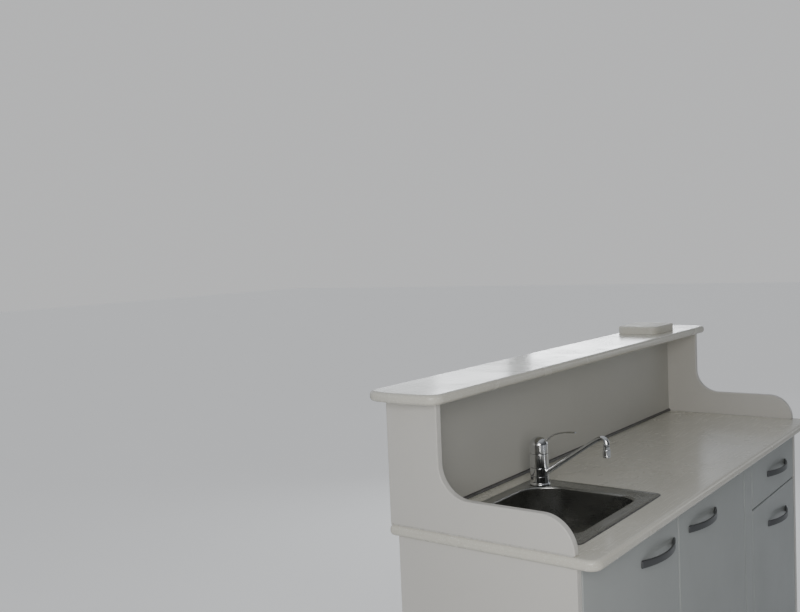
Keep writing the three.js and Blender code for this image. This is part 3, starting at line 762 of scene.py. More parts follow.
class GALLEY_OT_finishes(bpy.types.Operator):
    """Make every finish of the counter"""

    bl_idname = "galley.finishes"
    bl_label = "Finishes"

    def execute(self, context):
        look = context.scene.galley_finishes
        make_slab("worktop_slab", look.slab, 0.20, 0.25)
        make_slab("pad_slab", look.slab, 0.42, 0.0)
        make_laminate("white_panel", look.panel, 0.40, 0.55, 0.75)
        # The riser's laminate is darker than the panels' as painted shade
        make_laminate("riser_laminate_painted_shade", look.riser, 0.46, 0.92, 0.4)
        # The fronts' darker colour is partly painted shade
        make_laminate("door_laminate_painted_shade", look.front, 0.42, 0.40, 0.55)
        # The panels' strips are a little brighter than their boards: partly the strip's own tone, partly a
        # painted highlight for the pale line along the edges
        make_edging("panel_edging_painted_highlight", shade(look.panel, 1.04), 0.33)
        # The door strips are brighter than the fronts: partly a pale edge strip, partly a painted highlight
        # for the light line along the gaps
        make_edging("door_edging_painted_highlight", shade(look.front, 1.25), 0.30)
        make_board(look.board)
        make_ply(look.ply)
        make_brushed_steel(look.steel)
        make_chrome(look.chrome)
        make_handle_metal(look.handle)
        make_zinc(look.fitting)
        make_plastic(look.plastic)
        make_sealant("white_sealant", look.sealant)
        # The dark beads' finish is partly sealant and partly painted shade
        make_sealant("dark_sealant_painted_shade", look.dark_sealant_painted_shade)
        return {"FINISHED"}


# Worktop and raised bar


class GALLEY_OT_worktop(bpy.types.Operator):
    """Worktop slab with a rounded nose, the sink's opening and the tap's hole"""

    bl_idname = "galley.worktop"
    bl_label = "Worktop"

    def execute(self, context):
        low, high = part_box("worktop")
        piece = rounded_block("worktop_slab", low, high, WORKTOP_CORNERS)
        round_off(piece, context.scene.galley_sizes.nose, 8)
        opening_low = (BOWL_LOW[0] - BOWL_ROOM, BOWL_LOW[1] - BOWL_ROOM, low.z - PAST)
        opening_high = (BOWL_HIGH[0] + BOWL_ROOM, BOWL_HIGH[1] + BOWL_ROOM, high.z + PAST)
        radii = [radius + BOWL_ROOM for radius in BOWL_CORNERS]
        cut_away(piece, rounded_block("opening", opening_low, opening_high, radii, 12))
        cut_away(piece, rod((*TAP_AT[:2], low.z - PAST), TAP_HOLE, 0.05))
        finish(piece, "counter", "worktop_slab", "worktop")
        return {"FINISHED"}


class GALLEY_OT_raised_bar(bpy.types.Operator):
    """Bar top with bowed ends, its pad, the two cheeks and the riser"""

    bl_idname = "galley.raised_bar"
    bl_label = "Raised bar"

    def execute(self, context):
        sizes = context.scene.galley_sizes
        self.bar_top(sizes)
        self.pad(sizes)
        for side in ("left", "right"):
            self.cheek(side, sizes)
        # The riser's front takes the darker laminate that paints its shade
        front = board("riser_front", "riser_panel", sizes.board_edge)
        finish(front, "counter", "riser_laminate_painted_shade", "riser_panel")
        back = board("riser_back", "riser_back_panel", sizes.board_edge)
        finish(back, "counter", "white_panel", "riser_back_panel")
        return {"FINISHED"}

    def bar_top(self, sizes):
        low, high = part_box("bar_top")
        half = high.x - BAR_BOW
        corners = [BAR_CORNER] * 4
        piece = rounded_block("bar_slab", (-half, low.y, low.z), (half, high.y, high.z), corners)
        centre = (low.y + high.y) / 2
        reach = high.y - BAR_CORNER - centre
        rows = 12

        def on_end(edge):
            return runs_along(edge, 1) and all(near(abs(vert.co.x), half) for vert in edge.verts)

        with editing(piece):
            choose("EDGE", on_end)
            bpy.ops.mesh.subdivide(number_cuts=rows - 1)
            for step in range(1, rows):
                row = centre - reach + step * 2 * reach / rows
                push = BAR_BOW * (1 - ((row - centre) / reach) ** 2)
                for side in (-1, 1):
                    choose("VERT", lambda vert: near(vert.co.x, side * half) and near(vert.co.y, row))
                    bpy.ops.transform.translate(value=(side * push, 0, 0))
        round_off(piece, sizes.nose, 8)
        finish(piece, "counter", "worktop_slab", "bar_top")

    def pad(self, sizes):
        low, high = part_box("bar_pad")
        piece = rounded_block("bar_pad_block", low, high, [PAD_CORNER] * 4)
        round_off(piece, sizes.pad_edge, 5, lambda edge: is_corner(edge) and near(middle(edge).z, high.z))
        finish(piece, "counter", "pad_slab", "bar_pad")

    def cheek(self, side, sizes):
        """S-curved end board: a low wing towards the front that sweeps up into the bar's support."""
        node = f"cheek_{side}"
        low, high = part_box(node)
        column_front = high.y - COLUMN_DEPTH
        wing_top = low.z - SEAT + WING_HEIGHT
        piece = block(f"{side}_cheek", low, (high.x, high.y, wing_top))
        with editing(piece):
            bpy.ops.mesh.bisect(plane_co=(0, column_front, 0), plane_no=(0, 1, 0))
            choose("FACE", lambda face: face.normal.z > 0.9 and middle(face).y > column_front)
            extrude((0, 0, high.z - wing_top))
        for front in (column_front, low.y):

            def at_curve(edge):
                place = middle(edge)
                return runs_along(edge, 0) and near(place.y, front) and near(place.z, wing_top)

            round_off(piece, sizes.cheek_curve, sizes.curve_steps, at_curve)
        round_off(piece, sizes.cheek_edge, 4)
        give_faces(piece, "white_panel", "panel_edging_painted_highlight", lambda face: abs(face.normal.x) < 0.35)
        finish(piece, "counter", "white_panel", node)


# Cabinet


class GALLEY_OT_cabinet(bpy.types.Operator):
    """End panels with their toe notch, and the boards between them"""

    bl_idname = "galley.cabinet"
    bl_label = "Cabinet"

    def execute(self, context):
        sizes = context.scene.galley_sizes
        for side in ("left", "right"):
            self.end_panel(side, sizes)
        for node in ("back_panel", "toe_board"):
            finish(board(f"{node}_sheet", node, sizes.board_edge), "counter", "white_panel", node)
        for node in ("floor_board", "partition", "front_rail_left", "front_rail_right"):
            piece = board(f"{node}_sheet", node, sizes.board_edge)
            give_faces(piece, "cabinet_board", "panel_edging_painted_highlight", lambda face: face.normal.y < -0.3)
            finish(piece, "counter", "cabinet_board", node)
        stile = board("front_stile_board", "front_stile", sizes.front_edge * 0.6, 3)
        finish(stile, "counter", "door_laminate_painted_shade", "front_stile")
        return {"FINISHED"}

    def end_panel(self, side, sizes):
        node = f"end_panel_{side}"
        low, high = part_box(node)
        toe_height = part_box("floor_board")[0].z
        toe_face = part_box("toe_board")[0].y
        piece = block(f"{side}_end_board", (low.x, low.y, toe_height), high)
        with editing(piece):
            bpy.ops.mesh.bisect(plane_co=(0, toe_face, 0), plane_no=(0, 1, 0))
            choose("FACE", lambda face: face.normal.z < -0.9 and middle(face).y > toe_face)
            extrude((0, 0, low.z - toe_height))
        round_off(piece, sizes.board_edge * 1.4)
        give_faces(piece, "white_panel", "panel_edging_painted_highlight", lambda face: abs(face.normal.x) < 0.35)
        finish(piece, "counter", "white_panel", node)


class GALLEY_OT_screw_caps(bpy.types.Operator):
    """Domed caps over the screws that hold the two back panels"""

    bl_idname = "galley.screw_caps"
    bl_label = "Screw caps"

    def execute(self, context):
        profile = (
            (0.0066, -0.0004), (0.0066, 0.0004), (0.0062, 0.0010),
            (0.0048, 0.0015), (0.0026, 0.0018), (0.0004, 0.0019),
        )
        cap = turned("cap", (0, 0, 0), profile, 32)
        for node, rows in (("back_panel", (0.050, 0.437, 0.834)), ("riser_back_panel", (0.930, 1.176))):
            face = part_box(node)[1].y
            places = [(x, face, z) for z in rows for x in CAP_COLUMNS]
            caps = [copied(cap, "cap", place, (-math.pi / 2, 0, 0)) for place in places]
            finish(joined(f"{node}_caps", caps), "counter", "trap_plastic")
        bpy.data.objects.remove(cap)
        return {"FINISHED"}


# Doors and drawers


def make_handle(name, node):
    """Bow handle: a band that arcs out between two flat feet, narrower at its middle, edges rounded."""
    low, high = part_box(node)
    half, reach, back = (high.x - low.x) / 2, high.y - low.y, high.y
    inner_half, inner_reach = half - HANDLE_FOOT, reach - HANDLE_BAND
    x, z = (low.x + high.x) / 2, (low.z + high.z) / 2
    tall = high.z - low.z
    columns = 32
    thin_foot, thin_band = 0.0035, 0.0015
    corner, soft = 0.006, 0.0019

    def bow(offset, span, depth):
        """How far a round arc stands out at an offset from its middle."""
        if abs(offset) >= span:
            return 0.0
        radius = (depth**2 + span**2) / (2 * depth)
        return math.sqrt(radius**2 - offset**2) - (radius - depth)

    piece = block(name, low, high)
    with editing(piece):
        choose("EDGE", lambda edge: runs_along(edge, 0))
        bpy.ops.mesh.subdivide(number_cuts=columns - 1)
        for column in range(columns + 1):
            offset = -half + 2 * half * column / columns
            at = x + offset
            outer = max(bow(offset, half, reach), thin_foot)
            inner = min(bow(offset, inner_half, inner_reach), outer - thin_band)
            height = HANDLE_WAIST + (tall - HANDLE_WAIST) * (offset / half) ** 2
            choose("VERT", lambda vert: near(vert.co.x, at) and near(vert.co.y, low.y))
            bpy.ops.transform.translate(value=(0, reach - outer, 0))
            if inner > 0:
                choose("VERT", lambda vert: near(vert.co.x, at) and near(vert.co.y, back))
                bpy.ops.transform.translate(value=(0, -inner, 0))
            choose("VERT", lambda vert: near(vert.co.x, at))
            bpy.ops.transform.resize(value=(1, 1, height / tall), center_override=(at, back, z))
    round_off(piece, corner, 5, lambda edge: runs_along(edge, 1) and near(abs(middle(edge).x - x), half))
    round_off(piece, soft, 4, lambda edge: is_corner(edge, 40) and middle(edge).y < back - 0.0005)
    return piece


def fit_handle(handle, home, body, node):
    """Give a body its copy of the handle that was made at the home node, at its own node."""
    copy = copied(handle, f"{body}_bow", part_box(node)[0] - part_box(home)[0])
    finish(copy, body, "handle_metal", node)


def fit_front(name, body, node, sizes, holes=()):
    """Door leaf or drawer front with soft edges all round, its edge strips and its pivots' holes."""
    piece = board(name, node, sizes.front_edge, 5)
    for place in holes:
        cut_away(piece, rod(place, PIVOT_HOLE, 0.015, 32))
    # Edge strips take the brighter finish that paints the light line along the gaps
    give_faces(piece, "door_laminate_painted_shade", "door_edging_painted_highlight", lambda face: abs(face.normal.y) < 0.3)
    finish(piece, body, "door_laminate_painted_shade", node)


def screw_head():
    """Countersunk cross head, facing up, at the scene's origin."""
    profile = ((0.0022, -0.0012), (0.0036, 0), (0.0034, 0.0005), (0.0022, 0.0008), (0.0006, 0.0009))
    piece = turned("screw", (0, 0, 0), profile, 20)
    for turn in (0, math.pi / 2):
        slot = block("slot", (-0.0019, -0.0004, 0.0002), (0.0019, 0.0004, 0.002))
        cut_away(piece, turn_and_place(slot, (0, 0, 0), (0, 0, turn)))
    return piece


class GALLEY_OT_doors(bpy.types.Operator):
    """The two doors, their handles and the pivots that they turn on"""

    bl_idname = "galley.doors"
    bl_label = "Doors"

    def execute(self, context):
        sizes = context.scene.galley_sizes
        home = "door_left_handle"
        handle = make_handle("door_left_bow", home)
        screw = screw_head()
        for side, inward in (("left", 1), ("right", -1)):
            body, node = f"{side}_door", f"door_{side}"
            low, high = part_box(node)
            x = (low.x if side == "left" else high.x) + inward * PIVOT_INSET
            y = (low.y + high.y) / 2
            holes = ((x, y, low.z - 0.001), (x, y, high.z - PIVOT_DEPTH))
            fit_front(f"{body}_leaf", body, node, sizes, holes)
            fit_handle(handle, home, body, f"{node}_handle")
            for level in ("upper", "lower"):
                self.pivot(f"{body}_{level}", f"{node}_{level}_pivot", x, y, inward, screw)
        bpy.data.objects.remove(handle)
        bpy.data.objects.remove(screw)
        return {"FINISHED"}

    def pivot(self, name, node, x, y, inward, screw):
        """A screwed plate with the door's pin, hung from above or stood on the floor board."""
        low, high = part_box(node)
        upper = "upper" in node
        corner, soft = 0.0035, 0.0006
        plate_low = high.z - PIVOT_PLATE if upper else low.z
        plate_high = plate_low + PIVOT_PLATE
        plate = rounded_block(
            f"{name}_plate", (low.x, low.y, plate_low), (high.x, high.y, plate_high), [corner] * 4, 5
        )
        round_off(plate, soft, 2)
        pin_low, pin_high = (low.z, plate_low + 0.001) if upper else (plate_low + 0.002, high.z)
        length = pin_high - pin_low
        shape = [
            (0.0033, 0), (PIVOT_PIN, 0.0007), (PIVOT_PIN, length - 0.0027),
            (PIVOT_COLLAR, length - 0.0022), (PIVOT_COLLAR, length),
        ]
        if not upper:
            shape = [(radius, length - height) for radius, height in reversed(shape)]
        pin = turned(f"{name}_pin", (x, y, pin_low), shape, 32)
        face, turn = (plate_low, (math.pi, 0, 0)) if upper else (plate_high, (0, 0, 0))
        places = [(x + inward * step, y, face) for step in PIVOT_SCREWS]
        heads = [copied(screw, f"{name}_screw", place, turn) for place in places]
        finish(joined(f"{name}_pivot_plate", [plate, pin, *heads]), "counter", "zinc_fittings", node)


class GALLEY_OT_drawers(bpy.types.Operator):
    """The two drawers: fronts, boxes, handles and runners"""

    bl_idname = "galley.drawers"
    bl_label = "Drawers"

    def execute(self, context):
        sizes = context.scene.galley_sizes
        home = "top_drawer_handle"
        handle = make_handle("top_drawer_bow", home)
        screw = screw_head()
        for body in ("top_drawer", "deep_drawer"):
            fit_front(f"{body}_face", body, f"{body}_front", sizes)
            fit_handle(handle, home, body, f"{body}_handle")
            self.box(body, screw)
            for side, toward in (("left", 1), ("right", -1)):
                self.channel(f"{body}_{side}", toward)
                self.slide(f"{body}_{side}", body, toward)
        bpy.data.objects.remove(handle)
        bpy.data.objects.remove(screw)
        return {"FINISHED"}

    def box(self, body, screw):
        """The drawer's tray, and the screws that hold its front."""
        low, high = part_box(f"{body}_box")
        top_edge, corner = 0.0012, 0.0008
        screw_x, screw_z = 0.06, 0.03
        piece = block(f"{body}_tray", low, high)
        with editing(piece):
            choose("FACE", lambda face: face.normal.z > 0.9)
            bpy.ops.mesh.inset(thickness=DRAWER_SIDE, depth=0)
            extrude((0, 0, low.z + DRAWER_FLOOR - high.z))
        round_off(piece, top_edge, 3, lambda edge: is_corner(edge) and near(middle(edge).z, high.z, 1e-3))
        round_off(piece, corner, 2, lambda edge: runs_along(edge, 2) and is_corner(edge))
        finish(piece, body, "drawer_ply", f"{body}_box")
        face = low.y + DRAWER_SIDE
        columns = (low.x + screw_x, high.x - screw_x)
        rows = (low.z + screw_z, high.z - screw_z)
        places = [(x, face, z) for x in columns for z in rows]
        heads = [copied(screw, "head", place, (-math.pi / 2, 0, 0)) for place in places]
        finish(joined(f"{body}_screws", heads), body, "zinc_fittings")

    def channel(self, name, toward):
        """The runner's fixed half, with its groove cut through both ends, open towards the drawer."""
        node = f"{name}_channel"
        low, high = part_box(node)
        piece = block(f"{name}_rail", low, high)
        web = low.x + CHANNEL_WALL if toward > 0 else low.x - 0.001
        mouth = high.x + 0.001 if toward > 0 else high.x - CHANNEL_WALL
        groove_low = (web, low.y - PAST, low.z + CHANNEL_WALL)
        groove_high = (mouth, high.y + PAST, high.z - CHANNEL_WALL)
        cut_away(piece, block("groove", groove_low, groove_high))
        round_off(piece, 0.0005, 2)
        finish(piece, "counter", "zinc_fittings", node)

    def slide(self, name, body, toward):
        """The runner's moving half, hollowed towards the channel with a raised rib."""
        node = f"{name}_slide"
        wall, hollow, margin, rib = 0.0022, 0.0065, 0.010, 0.0030
        piece = block(f"{name}_member", *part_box(node))
        with editing(piece):
            choose("FACE", lambda face: face.normal.x * toward < -0.9)
            bpy.ops.mesh.inset(thickness=wall, depth=0)
            extrude((toward * hollow, 0, 0))
            bpy.ops.mesh.inset(thickness=margin, depth=0)
            extrude((-toward * rib, 0, 0))
        round_off(piece, 0.0006, 2)
        finish(piece, body, "zinc_fittings", node)


# Sink, waste and tap


def inside_bowl(edge):
    place = middle(edge)
    return all(BOWL_LOW[axis] - 0.001 < place[axis] < BOWL_HIGH[axis] + 0.001 for axis in (0, 1))


class GALLEY_OT_sink(bpy.types.Operator):
    """Pressed steel sink: flat rim with a rolled edge, a deep bowl and a floor that falls to the waste"""

    bl_idname = "galley.sink"
    bl_label = "Sink"

    def execute(self, context):
        rim_low, rim_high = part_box("sink")
        top, floor = rim_high.z, BOWL_LOW[2]
        pressed, lip = 0.0009, 0.006
        bowl = self.bowl(top, floor, context.scene.galley_sizes.bowl_floor)
        rim = self.rim(rim_low, rim_high, pressed)
        drain_top = floor - 0.0032
        drain = self.drain(drain_top)
        piece = joined("sink_basin", [bowl, rim, drain])

        def round_bowl(edge):
            height = middle(edge).z
            on_rim = near(height, top - pressed) or (near(height, top) and inside_bowl(edge))
            return edge.is_boundary and on_rim

        def round_drain(edge):
            return edge.is_boundary and drain_top - 0.0003 < middle(edge).z < floor + 0.0005

        def bowl_lip(edge):
            return is_corner(edge, 45) and inside_bowl(edge) and middle(edge).z > top - 0.0012

        with editing(piece):
            for gap in (round_bowl, round_drain):
                choose("EDGE", gap)
                bpy.ops.mesh.bridge_edge_loops()
            bpy.ops.mesh.select_all(action="SELECT")
            bpy.ops.mesh.normals_make_consistent(inside=False)
        round_off(piece, lip, 5, bowl_lip)
        self.face_up(piece)
        use_modifier(piece, "SOLIDIFY", thickness=SINK_SHEET, offset=-1.0)
        cut_away(piece, rod((*TAP_AT[:2], top - PAST), TAP_HOLE, 2 * PAST))
        finish(piece, "counter", "brushed_steel", "sink", 40)
        return {"FINISHED"}

    def bowl(self, top, floor, curve):
        """The bowl's walls, open above and below."""
        piece = rounded_block("bowl", BOWL_LOW, (BOWL_HIGH[0], BOWL_HIGH[1], top), BOWL_CORNERS, 14)
        round_off(piece, curve, 8, lambda edge: is_corner(edge) and near(middle(edge).z, floor))
        with editing(piece):
            choose("FACE", lambda face: face.normal.z > 0.9)
            bpy.ops.mesh.delete(type="FACE")
            choose("FACE", lambda face: face.normal.z < -0.95 and near(middle(face).z, floor))
            bpy.ops.mesh.delete(type="FACE")
        return piece

    def rim(self, low, high, pressed):
        """The rim, a little lower inside its raised edge, open under it and over the bowl."""
        foot = (low.x, low.y, high.z - 0.001)
        edge_width, slope_width = 0.0045, 0.0035
        piece = rounded_block("rim", foot, high, [RIM_CORNER] * 4, 8)
        with editing(piece):
            choose("FACE", lambda face: face.normal.z < -0.9)
            bpy.ops.mesh.delete(type="FACE")
            choose("FACE", lambda face: face.normal.z > 0.9)
            bpy.ops.mesh.inset(thickness=edge_width, depth=0)
            bpy.ops.mesh.inset(thickness=slope_width, depth=-pressed)
            choose("FACE", lambda face: face.normal.z > 0.9 and face.calc_area() > 0.05)
            bpy.ops.mesh.delete(type="ONLY_FACE")
        return piece

    def drain(self, top):
        """Rings that step down from the bowl's floor to the waste."""
        deselect_all()
        bpy.ops.mesh.primitive_circle_add(vertices=48, radius=0.046, location=(*WASTE_AT, top))
        piece = settle(named("drain"))
        with editing(piece):
            bpy.ops.mesh.select_mode(type="EDGE")
            bpy.ops.mesh.select_all(action="SELECT")
            for drop, grow in ((0.0006, 0.965), (0.0012, 0.965), (0.0024, 0.985), (0.0, 0.60)):
                bpy.ops.mesh.extrude_edges_move(TRANSFORM_OT_translate={"value": (0, 0, -drop)})
                bpy.ops.transform.resize(value=(grow, grow, 1), center_override=(*WASTE_AT, top))
        return piece

    def face_up(self, piece):
        """Turn every face so that the rim faces up, before the sheet gets its thickness."""
        rim_faces = [
            face for face in piece.data.polygons if abs(face.normal.z) > 0.95 and face.center.z > 0.9
        ]
        if sum(face.normal.z * face.area for face in rim_faces) < 0:
            with editing(piece):
                bpy.ops.mesh.flip_normals()


class GALLEY_OT_waste(bpy.types.Operator):
    """Strainer in the sink's floor and the bottle trap under it"""

    bl_idname = "galley.waste"
    bl_label = "Waste"

    def execute(self, context):
        self.strainer()
        self.trap()
        return {"FINISHED"}

    def strainer(self):
        x, y = WASTE_AT
        floor = BOWL_LOW[2] - WASTE_DROP
        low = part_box("sink_waste")[0].z - floor
        profile = (
            (0.0190, low), (0.0215, low + 0.0015), (0.0215, low + 0.026), (0.0300, low + 0.027),
            (0.0310, low + 0.0285), (0.0310, low + 0.037), (0.0300, low + 0.0385), (0.0215, low + 0.0395),
            (0.0215, -0.002), (0.0380, -0.0005), (0.0402, 0.0010), (0.0398, 0.0024),
            (0.0375, 0.0030), (0.0345, 0.0024), (0.0320, -0.0004), (0.0120, -0.0006),
            (0.0100, 0.0006), (0.0040, 0.0012), (0.0010, 0.0013),
        )
        piece = turned("waste_strainer", (x, y, floor), profile, 64)
        holes = []
        for count, radius in ((12, 0.0265), (7, 0.0180)):
            for step in range(count):
                turn = math.tau * step / count
                place = (x + radius * math.cos(turn), y + radius * math.sin(turn), floor - 0.0035)
                holes.append(rod(place, 0.0026, 0.01, 14))
        cut_away(piece, joined("holes", holes))
        finish(piece, "counter", "brushed_steel", "sink_waste")

    def trap(self):
        """A bottle under the waste, with a ribbed nut at its neck and cup, and an outlet to the back."""
        low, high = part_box("waste_trap")
        x, y = WASTE_AT
        foot, top, reach = low.z, high.z, high.y - y
        bottle_sides, outlet_sides = 48, 40
        profile = (
            (0.0230, foot), (0.0300, foot + 0.002), (0.0345, foot + 0.008), (0.0360, foot + 0.010),
            (0.0360, foot + 0.030), (0.0345, foot + 0.032), (0.0325, foot + 0.034), (0.0325, 0.642),
            (0.0290, 0.651), (0.0250, 0.655), (0.0225, 0.656), (0.0225, 0.658),
            (0.0250, 0.660), (0.0250, top - 0.003), (0.0235, top - 0.001), (0.0180, top),
        )
        bottle = turned("bottle", (x, y, 0), profile, bottle_sides)
        self.ribs(bottle, (x, y), foot + 0.010, foot + 0.030, 0.0013, bottle_sides)
        self.ribs(bottle, (x, y), 0.660, top - 0.003, 0.0011, bottle_sides)
        profile = (
            (0.0165, 0.020), (0.0165, 0.033), (0.0225, 0.034), (0.0235, 0.036),
            (0.0235, 0.058), (0.0220, 0.060), (0.0170, 0.061), (0.0160, 0.062),
            (0.0160, reach - 0.010), (0.0300, reach - 0.0095), (0.0315, reach - 0.006), (0.0330, reach),
        )
        outlet = turned("outlet", (0, 0, 0), profile, outlet_sides)
        self.ribs(outlet, (0, 0), 0.036, 0.058, 0.0011, outlet_sides)
        turn_and_place(outlet, (x, y, TRAP_OUTLET), (-math.pi / 2, 0, 0))
        finish(joined("bottle_trap", [bottle, outlet]), "counter", "trap_plastic", "waste_trap")

    def ribs(self, piece, centre, low, high, proud, sides):
        """Raise every other upright face between two heights, as on a hand nut."""

        def is_rib(face):
            place = middle(face)
            if abs(face.normal.z) > 0.05 or not low < place.z < high:
                return False
            turn = math.atan2(place.y - centre[1], place.x - centre[0]) / math.tau
            return round(turn * sides - 0.5) % 2 == 0

        with editing(piece):
            choose("FACE", is_rib)
            bpy.ops.mesh.extrude_region_shrink_fatten(TRANSFORM_OT_shrink_fatten={"value": proud})


class GALLEY_OT_tap(bpy.types.Operator):
    """Mixer tap: body, swivelling spout and the cap with its lever"""

    bl_idname = "galley.tap"
    bl_label = "Tap"

    def execute(self, context):
        self.body()
        self.spout()
        self.cap()
        return {"FINISHED"}

    def ahead(self, distance, height):
        """A place before the tap at rest, by its distance from the tap's axis and height over its foot."""
        x, y, foot = TAP_AT
        way_x, way_y = math.cos(SPOUT_TURN), math.sin(SPOUT_TURN)
        return Vector((x + distance * way_x, y + distance * way_y, foot + height))

    def line(self, rows):
        """The places and the sizes along a line of the tap."""
        places = [self.ahead(distance, height) for distance, height, _ in rows]
        return places, [size for _, _, size in rows]

    def body(self):
        profile = (
            (0.0140, -0.070), (0.0150, -0.069), (0.0150, -0.036), (0.0260, -0.0355), (0.0260, -0.0285),
            (0.0150, -0.028), (0.0150, 0.0), (0.0280, 0.0), (0.0289, 0.0006), (0.0290, 0.0030),
            (0.0283, 0.0046), (0.0266, 0.0058), (0.0260, 0.0072), (0.0260, 0.0238), (0.0256, 0.0246),
            (0.0250, 0.0250), (0.0200, 0.0250), (0.0200, 0.0490), (0.0250, 0.0490), (0.0257, 0.0494),
            (0.0260, 0.0504), (0.0260, 0.0866), (0.0257, 0.0873), (0.0250, 0.0877), (0.0050, 0.0877),
        )
        finish(turned("tap_column", TAP_AT, profile, 72), "counter", "tap_chrome", "tap_body")

    def spout(self):
        """A collar round the tap's neck, the bent arm and the ring at its mouth."""
        profile = (
            (0.0206, 0.0253), (0.0250, 0.0253), (0.0257, 0.0257), (0.0260, 0.0266),
            (0.0260, 0.0474), (0.0257, 0.0483), (0.0250, 0.0487), (0.0206, 0.0487),
        )
        collar = turned("collar", TAP_AT, profile, 72)
        cut_away(collar, turned("bore", TAP_AT, ((0.0205, 0.020), (0.0205, 0.055)), 72))
        bar = tube("bar", *self.line(SPOUT_LINE))
        cut_away(bar, turned("core", TAP_AT, ((0.0235, -0.02), (0.0235, 0.055))))
        tip = self.ahead(SPOUT_LINE[-1][0], 0)
        mouth = (
            (0.0072, 0.1030), (0.0078, 0.0996), (0.0088, 0.0990), (0.0099, 0.0994),
            (0.0103, 0.1004), (0.0103, 0.1040), (0.0099, 0.1048), (0.0099, 0.1058),
            (0.0103, 0.1066), (0.0103, 0.1190), (0.0099, 0.1204), (0.0088, 0.1212),
        )
        aerator = turned("aerator", (tip.x, tip.y, TAP_AT[2]), mouth)
        finish(joined("tap_spout_arm", [collar, bar, aerator]), "spout", "tap_chrome", "tap_spout")

    def cap(self):
        """A domed cap with a flat lever that rises from it."""
        shoulder, dome_height = 0.1115, 0.0215
        turns = [math.radians(angle) for angle in range(6, 87, 5)]
        rise = [(TAP_RADIUS * math.cos(turn), shoulder + dome_height * math.sin(turn)) for turn in turns]
        foot = ((0.0250, 0.0880), (0.0257, 0.0884), (0.0260, 0.0894), (TAP_RADIUS, shoulder))
        dome = turned("dome", TAP_AT, (*foot, *rise, (0.0008, shoulder + dome_height)), 72)
        deselect_all()
        bpy.ops.curve.primitive_bezier_circle_add(radius=1)
        section = bpy.context.active_object
        section.scale = (0.0064, 0.0026, 1)
        blade = tube("blade", *self.line(LEVER_LINE), section=settle(section))
        finish(joined("tap_cap_lever", [dome, blade]), "counter", "tap_chrome", "tap_lever")


class GALLEY_OT_sealant(bpy.types.Operator):
    """Beads of sealant round the sink, at the riser's foot and along the cheeks; the dark ones also paint the
    shade in those joints
    """

    bl_idname = "galley.sealant"
    bl_label = "Sealant"

    def execute(self, context):
        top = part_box("worktop")[1].z
        riser_low, riser_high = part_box("riser_panel")
        height = top + 0.0016
        ends = (riser_low.x, riser_low.y, height), (riser_high.x, riser_low.y, height)
        # Dark and wide as painted shade as well as sealant: it covers the shade line at the riser's foot
        finish(bead("riser_bead", *ends, RISER_BEAD), "counter", "dark_sealant_painted_shade")
        for side in ("left", "right"):
            low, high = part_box(f"cheek_{side}")
            inner, outer = (high.x, low.x + 0.0006) if side == "left" else (low.x, high.x - 0.0006)
            ends = (inner, low.y + 0.006, top + SEAT), (inner, riser_low.y - 0.003, top + SEAT)
            finish(bead(f"{side}_cheek_bead", *ends, CHEEK_BEAD), "counter", "white_sealant")
            ends = (outer, low.y + 0.003, top + 0.001), (outer, high.y - 0.003, top + 0.001)
            finish(bead(f"{side}_cheek_outer_bead", *ends, OUTER_BEAD), "counter", "white_sealant")
        self.sink_bead(top)
        return {"FINISHED"}

    def sink_bead(self, top):
        """A closed bead just outside the sink's rim, rounded at its four corners, dark as painted shade for
        the shadow gap round the rim.
        """
        low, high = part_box("sink")
        left, right = low.x + RIM_CORNER, high.x - RIM_CORNER
        front, back = low.y + RIM_CORNER, high.y - RIM_CORNER
        reach = RIM_CORNER + 0.0002
        points = []
        for x, y, start in ((left, front, 180), (right, front, 270), (right, back, 0), (left, back, 90)):
            for step in range(5):
                turn = math.radians(start + step * 22.5)
                points.append(Vector((x + reach * math.cos(turn), y + reach * math.sin(turn), top)))
        ring = tube("sink_bead", points, [SINK_BEAD] * len(points), sides=2, steps=3, closed=True)
        finish(ring, "counter", "dark_sealant_painted_shade")


# Stage

COOL = (0.95, 0.98, 1.0)
WARM = (1.0, 0.985, 0.955)

# Name, place, target, width and height, power's setting, share of it and colour
LAMPS = (
    ("side_window", (2.26, 2.56, 1.74), (-0.6, 0.2, 1.2), (0.42, 1.1), "window_power", 0.07, COOL),
    ("near_window", (2.52, 2.20, 1.70), (-0.5, 0.2, 1.2), (0.48, 1.1), "window_power", 0.20, COOL),
    ("far_window", (3.06, 1.56, 1.52), (0.2, 0.2, 1.2), (0.86, 0.9), "window_power", 0.52, COOL),
    ("low_window", (6.76, 2.33, 1.79), (0.8, 0.2, 1.2), (0.42, 0.36), "window_power", 0.13, COOL),
    ("end_lamp", (-2.6, -1.30, 1.7), (-0.6, 0.1, 0.8), (1.2, 1.2), "end_power", 1.0, WARM),
    ("right_lamp", (3.5, -1.8, 1.5), (0.9, -0.3, 0.9), (1.4, 1.2), "right_power", 1.0, COOL),
)


